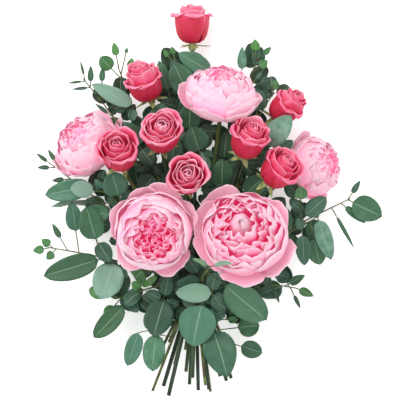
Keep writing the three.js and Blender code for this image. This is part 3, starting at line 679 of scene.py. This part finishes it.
def add_stalk(bm, start, end):
    """A thin straight stalk between two points."""
    along = end - start
    turn = along.to_track_quat("Z", "X").to_matrix().to_4x4()
    bmesh.ops.create_cone(
        bm,
        cap_ends=True,
        segments=5,
        radius1=stalk_radius,
        radius2=stalk_radius,
        depth=along.length,
        matrix=Matrix.Translation((start + end) / 2) @ turn,
    )


stalks = bmesh.new()
for layer in range(inner_layers):
    gaps = [(i, j) for i in range(-columns, columns + 1) for j in range(-rows, rows + 1)]
    gaps = [gap for gap in gaps if inside_bunch(Vector(gap) * cell)]
    rng.shuffle(gaps)
    for gap in gaps:
        if covered.get(gap, 0) > layer:
            continue
        middle = Vector((gap[0] * cell, gap[1] * cell))
        length = rng.uniform(*inner_length) * (1 - shrink * layer)
        wanted = length * rng.uniform(0.55, 0.8)
        level = neck_level if at_neck(middle) else deep_level
        roots = [
            (abs((at.xy - middle).length - wanted) + 0.15 * abs(at.z - level), number, at)
            for number, at in anchors
        ]
        roots = heapq.nsmallest(root_choices, roots, key=lambda entry: entry[0])
        if roots[0][0] > root_miss:
            continue
        for attempt in range(inner_tries):
            miss, number, root = rng.choice(roots)
            heading = Vector((middle.x - root.x, middle.y - root.y, 0)).normalized()
            swing = Matrix.Rotation(rng.uniform(-swing_reach, swing_reach), 3, "Z")
            heading = swing @ (heading + Vector((0, 0, rng.uniform(-0.5, 0.3)))).normalized()
            foot = root + heading * rng.uniform(*inner_stalk)
            tip = foot + heading * length * rng.uniform(0.8, 1)
            tip.z = max(tip.z, lowest_tip)
            chord = tip - foot
            side = chord.cross(Vector((0, 0, 1))).normalized()
            side = (side + Vector((0, 0, rng.uniform(-0.5, 0.5)))).normalized()
            width = chord.length * rng.uniform(*inner_shape)
            probes = [
                foot + chord * share + side * width * 0.5 * edge
                for share, edge in blade_probes
            ]
            if any(in_a_flower(probe, 1 * MM) for probe in probes) or cuts_a_leaf(probes):
                continue
            break
        else:
            continue
        bow = Vector((0, 0, rng.uniform(-1.5, 2.5) * MM))
        # Painted shade: the lower an inner leaf lies, the darker its tone.
        depth_shade = min(1, max(0, (foot.z + tip.z) / 2 / shade_height))
        grown = grow_blade(
            sheets[number],
            foot,
            tip,
            foot + chord / 2 + bow,
            side,
            width,
            rng.uniform(0.5, 0.8),
            leaf_fold * rng.uniform(0.4, 1.5),
            leaf_wave * rng.uniform(0.5, 1.6),
            0.02 + 0.36 * depth_shade + rng.uniform(-0.1, 0.14),
        )
        cover(grown, False)
        add_stalk(stalks, root, foot)
add_piece(stalks, "eucalyptus_inner_stalks", [eucalyptus_bark])

for number, leaves in sheets.items():
    bmesh.ops.remove_doubles(leaves, verts=leaves.verts, dist=weld)
    sheet = add_piece(
        leaves,
        f"eucalyptus_{number}_leaves",
        [eucalyptus_leaf],
        [f"eucalyptus_branch_{number}"],
    )
    skin = sheet.modifiers.new("leaf thickness", "SOLIDIFY")
    skin.thickness = leaf_skin
    skin.offset = 0

# ---------- sepals ----------
# Under each flower a green cup carries five sepals, which folded back as the bud opened. They are
# thicker and duller than the petals, and matt green.
cup_steps = 20
cup_rim = 0.8
cup_waist = 0.4
cup_seat = 1.5 * MM  # how far the cup reaches up round the petals' feet
sepal_skin = 0.6 * MM


def turn_cup(bm, outline, place):
    """Spins an outline of (radius, height) about the flower's axis into a closed cup."""
    corners = [bm.verts.new((radius, 0, height)) for radius, height in outline]
    edges = [bm.edges.new(pair) for pair in zip(corners, corners[1:])]
    bmesh.ops.spin(
        bm,
        geom=corners + edges,
        cent=(0, 0, 0),
        axis=(0, 0, 1),
        angle=2 * math.pi,
        steps=cup_steps,
        use_merge=True,
    )
    bmesh.ops.remove_doubles(bm, verts=bm.verts, dist=weld)
    bmesh.ops.recalc_face_normals(bm, faces=bm.faces)
    bmesh.ops.transform(bm, matrix=place, verts=bm.verts)


# A sepal's matt green skin turns paler and yellower in blotches.
sepal_green = grained_skin(
    "sepal",
    grain=(5 * MM, 4),
    stretch=(1, 1, 1),
    stops=[(0.3, "#5f7f3e"), (0.5, "#9db070"), (0.72, "#c9b98a")],
    relief=0.4,
    depth=0.4 * MM,
    roughness=0.6,
)
sepal_kinds = {
    "peony": {"cup": 9 * MM, "width": 14 * MM, "curl": -3 * MM},
    "rose": {"cup": 6.5 * MM, "width": 8 * MM, "curl": 4 * MM},
}

for flower in flowers:
    kind = sepal_kinds[flower.split("_")[0]]
    place = places[flower]
    depth = place["calyx_depth"]
    bm = bmesh.new()
    turn_cup(
        bm,
        [
            (0, cup_seat),
            (kind["cup"] * cup_rim, cup_seat),
            (kind["cup"], -depth * cup_waist),
            (kind["cup"] * 0.8, -depth * 0.75),
            (kind["cup"] * 0.5, -depth),
            (0, -depth),
        ],
        place["matrix"],
    )
    cup = add_piece(bm, f"{flower}_cup", [sepal_green])
    smooth_over(cup, 1)
    bm = bmesh.new()
    for k in range(5):
        angle = 2 * math.pi * k / 5
        out = Vector((math.cos(angle), math.sin(angle), 0))
        foot = out * kind["cup"] * 0.75 + Vector((0, 0, -2.6 * MM))
        curl = kind["curl"] * rng.uniform(0.2, 2.4)
        tip = out * place["calyx_reach"] * rng.uniform(0.75, 1) + Vector((0, 0, -2 * MM - curl))
        middle = (foot + tip) / 2 + Vector((0, 0, -1 * MM))
        side = Vector((-out.y, out.x, 0))
        turn = place["matrix"]
        grow_blade(
            bm,
            turn @ foot,
            turn @ tip,
            turn @ middle,
            turn.to_3x3() @ side,
            kind["width"],
            0.9,
            0.3,
            0.04,
            0.5,
        )
    bmesh.ops.remove_doubles(bm, verts=bm.verts, dist=weld)
    sepals = add_piece(
        bm, f"{flower}_calyx", [sepal_green], [f"{flower}_sepals"]
    )
    skin = sepals.modifiers.new("sepal thickness", "SOLIDIFY")
    skin.thickness = sepal_skin
    skin.offset = 0

# ---------- peonies ----------
# Double peonies. Broad smooth guard petals make the outer bowl, and inside them a heart of many
# thinner petals, ruffled and notched, stands in whorls. Petals are thin, silky and translucent, and
# a painted emission glow brightens them, most deep in the flower where the blush is deeper.
petal_skin = 0.5 * MM
petal_glow = 0.27  # painted glow: an emission standing in for light through thin petals, redder where the blush is deeper
globe_glow = 0.6
petal_rows = 12
petal_columns = 12
notch_width = 0.14
sway = 0.14  # how far a loose petal leans, as a share of its radius
twist = 0.12
nibble = 0.025  # the fine unevenness of a rim
crease_waves = 9
crumple_size = 11 * MM
scorch_start = 0.86  # how far up a petal its dried edge starts
deepest_blush = 0.78
cloud_size = 14 * MM
peony_seed = 40
crumple_seed = 3
noise.seed_set(crumple_seed)  # or the crumples would differ from run to run
ripple_room = 0.08  # the share of a bloom's radius that its petals' ripples take up


def along_path(path, share):
    """A point on the curve through a path's control points, by repeated halving of its spans."""
    points = [Vector(p) for p in path]
    while len(points) > 1:
        points = [a.lerp(b, share) for a, b in zip(points, points[1:])]
    return points[0]


def grow_petal(bm, turn, azimuth, ring, blush, seed):
    """One petal on a grid. Its rows climb the whorl's path and its columns spread round it."""
    tones = bm.verts.layers.float.get("blush") or bm.verts.layers.float.new("blush")
    bm.loops.layers.uv.verify()
    grid = bmesh.ops.create_grid(
        bm, x_segments=petal_columns, y_segments=petal_rows, size=1, calc_uvs=True
    )
    phase = seed.uniform(0, 6.3)
    waves = ring["waves"] * seed.uniform(0.8, 1.25)
    notch_at = seed.uniform(-0.3, 0.3)
    lean = seed.uniform(-1, 1) * ring["loose"]
    skew = seed.uniform(-1, 1) * ring["loose"]
    drift = Vector([seed.uniform(-50, 50) for _ in range(3)])
    for vertex in grid["verts"]:
        across = vertex.co.x
        climb = (vertex.co.y + 1) / 2
        rim = climb ** ring["fade"]
        reach = climb * (1 - ring["round"] * abs(across) ** 2.2)
        reach -= rim * ring["notch"] * math.exp(-(((across - notch_at) / notch_width) ** 2))
        reach += rim * nibble * math.sin(2.3 * waves * across + phase * 2)
        radius, height = along_path(ring["path"], max(0, reach))
        broad = math.sin(min(1, climb * 1.25) * math.pi / 2)
        widening = ring["claw"] + (1 - ring["claw"]) * broad
        angle = azimuth + across * ring["spread"] * widening
        ripple = rim * ring["ruffle"] * math.sin(waves * across * 3 + phase)
        ripple += climb * lean * radius * sway + climb * skew * across * radius * twist
        ripple += ring["crease"] * climb * math.sin(crease_waves * across + phase * 3)
        ripple += ring["hug"] * across**2 * climb * radius
        radius += ripple
        height += rim * ring["ruffle"] * 0.6 * math.cos(waves * across * 3 + phase)
        point = Vector((radius * math.cos(angle), radius * math.sin(angle), height))
        point.xy += climb * Vector(ring["shift"]) * MM
        crumple = noise.noise_vector(point / crumple_size + drift) * ring["crumple"] * climb
        vertex.co = turn @ (point + crumple)
        vertex.co.z = max(vertex.co.z, table_gap)
        dried = max(0, climb - scorch_start) / (1 - scorch_start)
        bruise = ring["scorch"] * dried * max(0, 1 - abs(across) * 2.2)
        # The rim pales, partly the petal's own colour and partly a painted highlight, and towards
        # the foot the blush deepens, partly its own colour and partly painted shade in the recesses
        # between whorls.
        pale_rim_and_highlight = ring["pale_rim_and_highlight"] * rim
        deepened = min(deepest_blush, blush + ring["depth"] * (1 - climb) ** 1.1)
        vertex[tones] = deepened - pale_rim_and_highlight + bruise
    return grid["verts"]


def petal_material(name, colours, vein_strength, glow_colours, glow_strength):
    """A silky petal: pale at the rim and deeper towards the claw, partly its own colour and partly
    painted highlight and painted shade, with fine lengthwise veins and a painted emission glow.
    """
    material, tree, shader = new_material(name)
    coords = add_node(tree, "ShaderNodeTexCoord", {})
    blush = add_node(tree, "ShaderNodeAttribute", {}, attribute_name="blush")
    stretched = add_node(
        tree, "ShaderNodeMapping", {"Vector": coords.outputs["UV"], "Scale": (34, 1.6, 1)}
    )
    veins = add_node(
        tree,
        "ShaderNodeTexNoise",
        {"Vector": stretched.outputs["Vector"], "Scale": 1, "Detail": 3},
    )
    clouds = add_node(
        tree,
        "ShaderNodeTexNoise",
        {"Vector": coords.outputs["Object"], "Scale": 1 / cloud_size, "Detail": 3},
    )
    streaked = maths(
        tree, "MULTIPLY_ADD", veins.outputs["Fac"], vein_strength, blush.outputs["Fac"]
    )
    clouded = maths(tree, "MULTIPLY_ADD", clouds.outputs["Fac"], 0.22, streaked.outputs["Value"])
    settled = maths(tree, "SUBTRACT", clouded.outputs["Value"], 0.11 + vein_strength / 2)
    places_on_ramp = [i / (len(colours) - 1) for i in range(len(colours))]
    colour = add_node(
        tree,
        "ShaderNodeValToRGB",
        {"Fac": settled.outputs["Value"]},
        stops=list(zip(places_on_ramp, colours)),
    )
    bump = add_node(
        tree,
        "ShaderNodeBump",
        {"Height": veins.outputs["Fac"], "Strength": 0.35, "Distance": 0.5 * MM},
    )
    tree.links.new(colour.outputs["Color"], shader.inputs["Base Color"])
    tree.links.new(bump.outputs["Normal"], shader.inputs["Normal"])
    # Painted glow: an emission coloured from the blush, redder where it is deeper, that lightens
    # the petal's shade.
    glow = add_node(
        tree,
        "ShaderNodeValToRGB",
        {"Fac": settled.outputs["Value"]},
        stops=list(zip((0, 0.2, 0.45, 0.8), glow_colours)),
    )
    tree.links.new(glow.outputs["Color"], shader.inputs["Emission Color"])
    shader.inputs["Emission Strength"].default_value = glow_strength
    shader.inputs["Roughness"].default_value = 0.6
    shader.inputs["Subsurface Weight"].default_value = 0.25
    shader.inputs["Subsurface Radius"].default_value = (3 * MM, 2.2 * MM, 2.2 * MM)
    shader.inputs["Subsurface Scale"].default_value = 1
    return material


def whorl(count, path, blush, **changes):
    """A ring of like petals. Its path goes from foot to rim in shares of the radius and mm."""
    ring = {
        "count": count,
        "path": path,
        "blush": blush,
        "overlap": 1.6,
        "claw": 0.35,
        "round": 0.2,
        "notch": 0.0,
        "ruffle": 1.5 * MM,
        "waves": 1.4,
        "crumple": 1.5 * MM,
        "hug": -0.05,
        "loose": 0.8,
        # Towards the foot the blush deepens, partly the petal's own colour and partly painted
        # shade; the rim pales, partly its own colour and partly a painted highlight.
        "depth": 0.7,
        "pale_rim_and_highlight": 0.08,
        "scorch": 0.0,
        "crease": 0.7 * MM,
        "fade": 3,
        "shift": (0, 0),
        "shut_path": None,
        "sizes": (0.93, 1.04),
        "azimuths": None,
    }
    ring.update(changes)
    return ring


def grow_whorl(bm, place, ring, seed):
    """Sets a ring of petals round the flower, each turned and tinted a little of its own."""
    reach = place["radius"] * (1 - ripple_room)
    start = seed.uniform(0, 6.3)
    for k in range(ring["count"]):
        azimuth = start + 2 * math.pi * (k + seed.uniform(-0.2, 0.2)) / ring["count"]
        if ring["azimuths"]:
            azimuth = math.radians(ring["azimuths"][k])
        size = seed.uniform(*ring["sizes"])
        path = ring["path"]
        if ring["shut_path"]:
            share, height = path[-1]
            out = Vector((math.cos(azimuth), math.sin(azimuth), 0)) * share * reach
            tip = place["matrix"] @ (out + Vector((0, 0, height * MM)))
            if in_a_flower(tip, 2 * MM, place["flower"]) or tip.z < 2 * MM:
                path = ring["shut_path"]
        petal = dict(ring)
        petal["path"] = [(r * reach * size, h * MM * size) for r, h in path]
        petal["spread"] = ring["overlap"] * math.pi / ring["count"]
        blush = ring["blush"] + seed.uniform(-0.08, 0.08)
        grow_petal(bm, place["matrix"], azimuth, petal, blush, seed)


# The hearts, from the outermost whorl inwards.
smooth = {"crumple": 2 * MM, "loose": 0.3, "overlap": 1.9}
frill = {"ruffle": 3 * MM, "waves": 2.0, "crumple": 3 * MM, "depth": 1.3, "pale_rim_and_highlight": 0.26}
crumpled = dict(frill, ruffle=3.5 * MM, crumple=5 * MM, notch=0.2)
pale_frill = {
    "ruffle": 2.4 * MM,
    "waves": 2.2,
    "crumple": 2.5 * MM,
    "crease": 1.3 * MM,
    "depth": 0.34,
    "notch": 0.09,
    "pale_rim_and_highlight": 0.1,
}
cupped_heart = [
    whorl(6, [(0.06, 3), (1.05, 0), (1.08, 38), (0.78, 48)], 0.0, shift=(0, -1), **smooth),
    whorl(7, [(0.06, 3), (1.0, 2), (1.02, 44), (0.7, 53)], 0.12, depth=1.1, shift=(-1, -2)),
    whorl(7, [(0.06, 3), (0.9, 4), (0.94, 48), (0.62, 55)], 0.3, shift=(-1, -3), **frill),
    whorl(8, [(0.05, 3), (0.78, 6), (0.84, 52), (0.54, 56)], 0.36, shift=(-2, -4), **frill),
    whorl(8, [(0.05, 3), (0.66, 8), (0.72, 54), (0.46, 57)], 0.42, shift=(-2, -4), **crumpled),
    whorl(7, [(0.04, 3), (0.54, 8), (0.6, 54), (0.37, 57)], 0.46, shift=(-2, -3), **crumpled),
    whorl(7, [(0.04, 3), (0.42, 8), (0.46, 54), (0.25, 57)], 0.52, shift=(-3, -2), **crumpled),
    whorl(6, [(0.03, 3), (0.28, 10), (0.3, 52), (0.14, 56)], 0.56, shift=(-3, 0), **crumpled),
    whorl(4, [(0.02, 3), (0.14, 12), (0.16, 50), (0.04, 55)], 0.6, shift=(-3, 0), **crumpled),
]
frilled_heart = [
    whorl(7, [(0.06, 3), (1.05, 0), (1.08, 36), (0.84, 44)], 0.14, notch=0.1, loose=0.4),
    whorl(8, [(0.06, 3), (0.98, 2), (1.02, 44), (0.74, 50)], 0.24, notch=0.15, **frill),
    whorl(8, [(0.06, 3), (0.86, 4), (0.92, 50), (0.63, 55)], 0.3, notch=0.15, **frill),
    whorl(8, [(0.05, 3), (0.74, 6), (0.8, 54), (0.52, 57)], 0.34, shift=(0, 3), **crumpled),
    whorl(8, [(0.05, 3), (0.6, 8), (0.66, 56), (0.42, 59)], 0.38, shift=(-2, 6), **crumpled),
    whorl(6, [(0.05, 3), (0.45, 8), (0.52, 57), (0.3, 60)], 0.3, shift=(-4, 9), **frill),
    whorl(4, [(0.03, 3), (0.32, 8), (0.42, 58), (-0.03, 60)], 0.08, shift=(-6, 13), **smooth),
]
globe_heart = [
    whorl(6, [(0.06, 2), (1.1, 0), (1.12, 32), (0.78, 42)], 0.12, crease=1.3 * MM, **smooth),
    whorl(7, [(0.06, 2), (1.06, 0), (1.1, 40), (0.66, 50)], 0.12, loose=0.4, **pale_frill),
    whorl(8, [(0.06, 3), (0.96, 2), (1.0, 47), (0.56, 55)], 0.12, **pale_frill),
    whorl(8, [(0.05, 3), (0.82, 4), (0.88, 52), (0.46, 58)], 0.16, **pale_frill),
    whorl(8, [(0.05, 3), (0.66, 6), (0.72, 55), (0.36, 59)], 0.2, **pale_frill),
    whorl(7, [(0.05, 3), (0.48, 8), (0.56, 57), (0.25, 60)], 0.24, **pale_frill),
    whorl(5, [(0.03, 3), (0.3, 8), (0.36, 58), (0.02, 61)], 0.28, **pale_frill),
]
guard_bowl = [
    whorl(
        6,
        [(0.06, 0.5), (1.0, -3), (1.1, 16), (1.2, 30)],
        0.05,
        overlap=1.05,
        ruffle=2 * MM,
        crumple=2.5 * MM,
        depth=0.3,
        round=0.32,
        loose=0.4,
        shut_path=[(0.06, 0.5), (1.0, -3), (1.06, 20), (0.96, 33)],
    ),
    whorl(
        7,
        [(0.06, 1.5), (1.02, -1), (1.08, 20), (0.94, 35)],
        0.1,
        ruffle=2 * MM,
        crumple=2 * MM,
        depth=0.3,
        loose=0.3,
    ),
]
# Where the loose outer guards of the two front peonies have opened, in degrees round the flower.
open_guards = {1: [78, 111, 160, 227, 24, 300], 2: [125, 155, -35, -90, 40, 205]}
peony_styles = [cupped_heart, frilled_heart, globe_heart, globe_heart, globe_heart]
heart_colours = ["#f6d0de", "#f3b7cd", "#ec90b5", "#df6797", "#cf437b"]
heart_material = petal_material(
    "peony heart petal",
    heart_colours,
    0.2,
    ["#2c1018", "#84304c", "#d0447a", "#e0306e"],
    petal_glow,
)
# A globe's petals are few and pale, and get a stronger painted glow that lightens the shade inside
# it.
globe_material = petal_material(
    "peony globe petal",
    heart_colours,
    0.2,
    ["#28101a", "#8a4660", "#e08cac", "#e8709c"],
    globe_glow,
)
guard_material = petal_material(
    "peony guard petal",
    ["#f4cddb", "#eebbd0", "#e59dba", "#d87098"],
    0.16,
    ["#4a222e", "#a8526e", "#d0547f", "#e04a80"],
    petal_glow,
)

for number, style in enumerate(peony_styles, start=1):
    place = places[f"peony_{number}"]
    seed = random.Random(peony_seed + number)
    for part, rings, material in (
        ("inner", style, globe_material if style is globe_heart else heart_material),
        ("guard", guard_bowl, guard_material),
    ):
        bm = bmesh.new()
        for ring in rings:
            if ring["shut_path"]:
                ring = dict(ring, azimuths=open_guards.get(number))
            grow_whorl(bm, place, ring, seed)
        petals = add_piece(
            bm,
            f"peony_{number}_{part}_whorls",
            [material],
            [f"peony_{number}_{part}_petals"],
        )
        skin = petals.modifiers.new("petal thickness", "SOLIDIFY")
        skin.thickness = petal_skin
        skin.offset = 0

# ---------- roses ----------
# Garden roses, cut half open. The petals wrap in a spiral from a tight heart to broad outer ones
# whose rims roll back. They are velvety, paler inside, and crimson outside towards the hip.
rose_seed = 80
rose_glow = 0.08  # a weaker painted glow, as rose petals are thicker and let less light through
# The roses' rims are paler, partly their own colour and partly a painted highlight, and deeper at
# the foot, partly their own colour and partly painted shade.
velvet = {
    "ruffle": 1.0 * MM,
    "crumple": 1.3 * MM,
    "round": 0.36,
    "depth": 0.45,
    "pale_rim_and_highlight": 0.2,
    "fade": 2,
    "hug": -0.1,
}
rose_whorls = [
    whorl(2, [(0.02, 6), (0.2, 10), (0.24, 50), (-0.04, 55)], 0.34, overlap=2.6, **velvet),
    whorl(3, [(0.03, 4), (0.36, 8), (0.42, 50), (0.16, 55)], 0.34, overlap=2.1, **velvet),
    whorl(3, [(0.04, 2), (0.6, 6), (0.62, 48), (0.34, 52), (0.4, 55)], 0.36, overlap=2, **velvet),
    whorl(4, [(0.05, 1), (0.82, 2), (0.84, 42), (0.5, 51), (0.62, 54)], 0.44, **velvet),
    whorl(
        5,
        [(0.05, 0.5), (1.04, 0), (1.08, 34), (0.68, 47), (0.9, 52)],
        0.5,
        sizes=(0.94, 1.03),
        **dict(velvet, pale_rim_and_highlight=0.36),
    ),
    whorl(
        5,
        [(0.05, 0.5), (1.14, -3), (1.16, 26), (0.88, 42), (1.0, 54), (1.22, 52), (1.24, 43)],
        0.66,
        overlap=1.4,
        scorch=0.5,
        sizes=(0.92, 1.03),
        **dict(velvet, pale_rim_and_highlight=0.5),
    ),
]
rose_drops = [0.92, 0.78, 1, 0.96, 1, 0.94, 0.9, 0.78]  # lower where the outermost have opened
rose_tints = [0.0, 0.02, -0.06, 0.04, -0.1, 0.06, 0.12, 0.06]  # how much deeper each one is
rose_glow_colours = ["#2c1018", "#84304c", "#d0447a", "#cc1a43"]
rose_outside = petal_material(
    "rose petal outside",
    ["#f7b9ca", "#ef7b9b", "#da3259", "#b81532", "#5c2436"],
    0.14,
    rose_glow_colours,
    rose_glow,
)
rose_inside = petal_material(
    "rose petal inside",
    ["#fac6d3", "#f596b0", "#ee668b", "#dc3560", "#5c2436"],
    0.14,
    rose_glow_colours,
    rose_glow,
)

for number, (deeper, drop) in enumerate(zip(rose_tints, rose_drops), start=1):
    place = places[f"rose_{number}"]
    opened = dict(rose_whorls[-1], path=[(r, h * drop) for r, h in rose_whorls[-1]["path"]])
    seed = random.Random(rose_seed + number)
    bm = bmesh.new()
    for ring in rose_whorls[:-1] + [opened]:
        grow_whorl(bm, place, dict(ring, blush=ring["blush"] + deeper), seed)
    bloom = add_piece(
        bm,
        f"rose_{number}_bloom",
        [rose_outside, rose_inside],
        [f"rose_{number}_petals"],
    )
    skin = bloom.modifiers.new("petal thickness", "SOLIDIFY")
    skin.thickness = petal_skin
    skin.offset = 0
    skin.material_offset = 1

# ---------- raffia tie ----------
# Strands of dried palm fibre, wound side by side round the stems where they cross and pulled tight.
# They are flat and matt, straw coloured, with fine fibres along their length.
strand_count = 6
groove = 0.5 * MM
groove_share = 0.1  # of a strand's width, on each side of the line between two strands


# Dried raffia is straw coloured and matt, with fibres that run round the stems.
raffia = grained_skin(
    "dried raffia",
    grain=(0.7 * MM, 4),
    stretch=(0.15, 1, 0.15),
    stops=[(0.3, "#8f7444"), (0.5, "#c9b184"), (0.7, "#e2d2a8")],
    relief=0.7,
    depth=0.4 * MM,
    roughness=0.8,
)

bm = cad_copy("raffia_tie")
low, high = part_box("raffia_tie")
centre = (low + high) / 2
strand = (high.y - low.y) / strand_count
for k in range(1, 2 * strand_count):
    bmesh.ops.bisect_plane(
        bm,
        geom=bm.verts[:] + bm.edges[:] + bm.faces[:],
        dist=weld,
        plane_co=(0, low.y + k * strand / 2, 0),
        plane_no=(0, 1, 0),
    )
bm.normal_update()
outer = [v for v in bm.verts if (v.co - centre).xz.dot(v.normal.xz) > 0]
for vertex in outer:
    place_in_strand = (vertex.co.y - low.y) / strand % 1
    if place_in_strand < groove_share or place_in_strand > 1 - groove_share:
        inward = Vector((centre.x - vertex.co.x, 0, centre.z - vertex.co.z)).normalized()
        vertex.co += inward * groove
add_piece(bm, "raffia_winding", [raffia], ["raffia_tie"])

# ---------- table, light and camera ----------
# A pale table top, two broad soft lights and a camera that looks straight down on the bouquet.
view_width = 0.58
view_centre = (-0.0109, 0.0007)
view_height = 3.5
view_level = 0.09
sensor = 36
table_size = 12
table_glow = 0.5  # a light table, lit softly from below
mottle_size = 40 * MM
far_limit = 50


def table_material():
    """A matt painted table top, near white, with the faintest mottle."""
    material, tree, shader = new_material("matt painted table")
    coords = add_node(tree, "ShaderNodeTexCoord", {})
    mottle = add_node(
        tree, "ShaderNodeTexNoise", {"Vector": coords.outputs["Object"], "Scale": 1 / mottle_size}
    )
    colour = add_node(
        tree,
        "ShaderNodeValToRGB",
        {"Fac": mottle.outputs["Fac"]},
        stops=[(0, "#f6f6f6"), (1, "#fafafa")],
    )
    tree.links.new(colour.outputs["Color"], shader.inputs["Base Color"])
    tree.links.new(colour.outputs["Color"], shader.inputs["Emission Color"])
    shader.inputs["Emission Strength"].default_value = table_glow
    shader.inputs["Roughness"].default_value = 0.9
    return material


bm = bmesh.new()
bmesh.ops.create_grid(bm, x_segments=1, y_segments=1, size=table_size / 2)
table_mesh = bpy.data.meshes.new("table")
bm.to_mesh(table_mesh)
bm.free()
table_mesh.materials.append(table_material())
table = bpy.data.objects.new("table", table_mesh)
bpy.context.scene.collection.objects.link(table)


def add_light(name, position, size, power):
    """A square soft light that faces the middle of the bouquet."""
    light = bpy.data.lights.new(name, "AREA")
    light.shape = "SQUARE"
    light.size = size
    light.energy = power
    lamp = bpy.data.objects.new(name, light)
    lamp.location = position
    lamp.rotation_euler = (-Vector(position)).to_track_quat("-Z", "Y").to_euler()
    bpy.context.scene.collection.objects.link(lamp)


add_light("window light", (-1.2, 1.4, 2.2), 1.8, 44)
add_light("fill light", (1.6, -0.8, 1.8), 2.0, 12)

world = bpy.data.worlds.new("studio")
world.use_nodes = True
world.node_tree.nodes["Background"].inputs["Color"].default_value = linear("#f8f7f6")
world.node_tree.nodes["Background"].inputs["Strength"].default_value = 0.8
bpy.context.scene.world = world
bpy.context.scene.view_settings.view_transform = "Standard"

lens = bpy.data.cameras.new("view from above")
lens.sensor_width = sensor
lens.lens = sensor * view_height / view_width
lens.clip_end = far_limit
camera = bpy.data.objects.new("view from above", lens)
camera.location = (*view_centre, view_level + view_height)
bpy.context.scene.collection.objects.link(camera)
bpy.context.scene.camera = camera
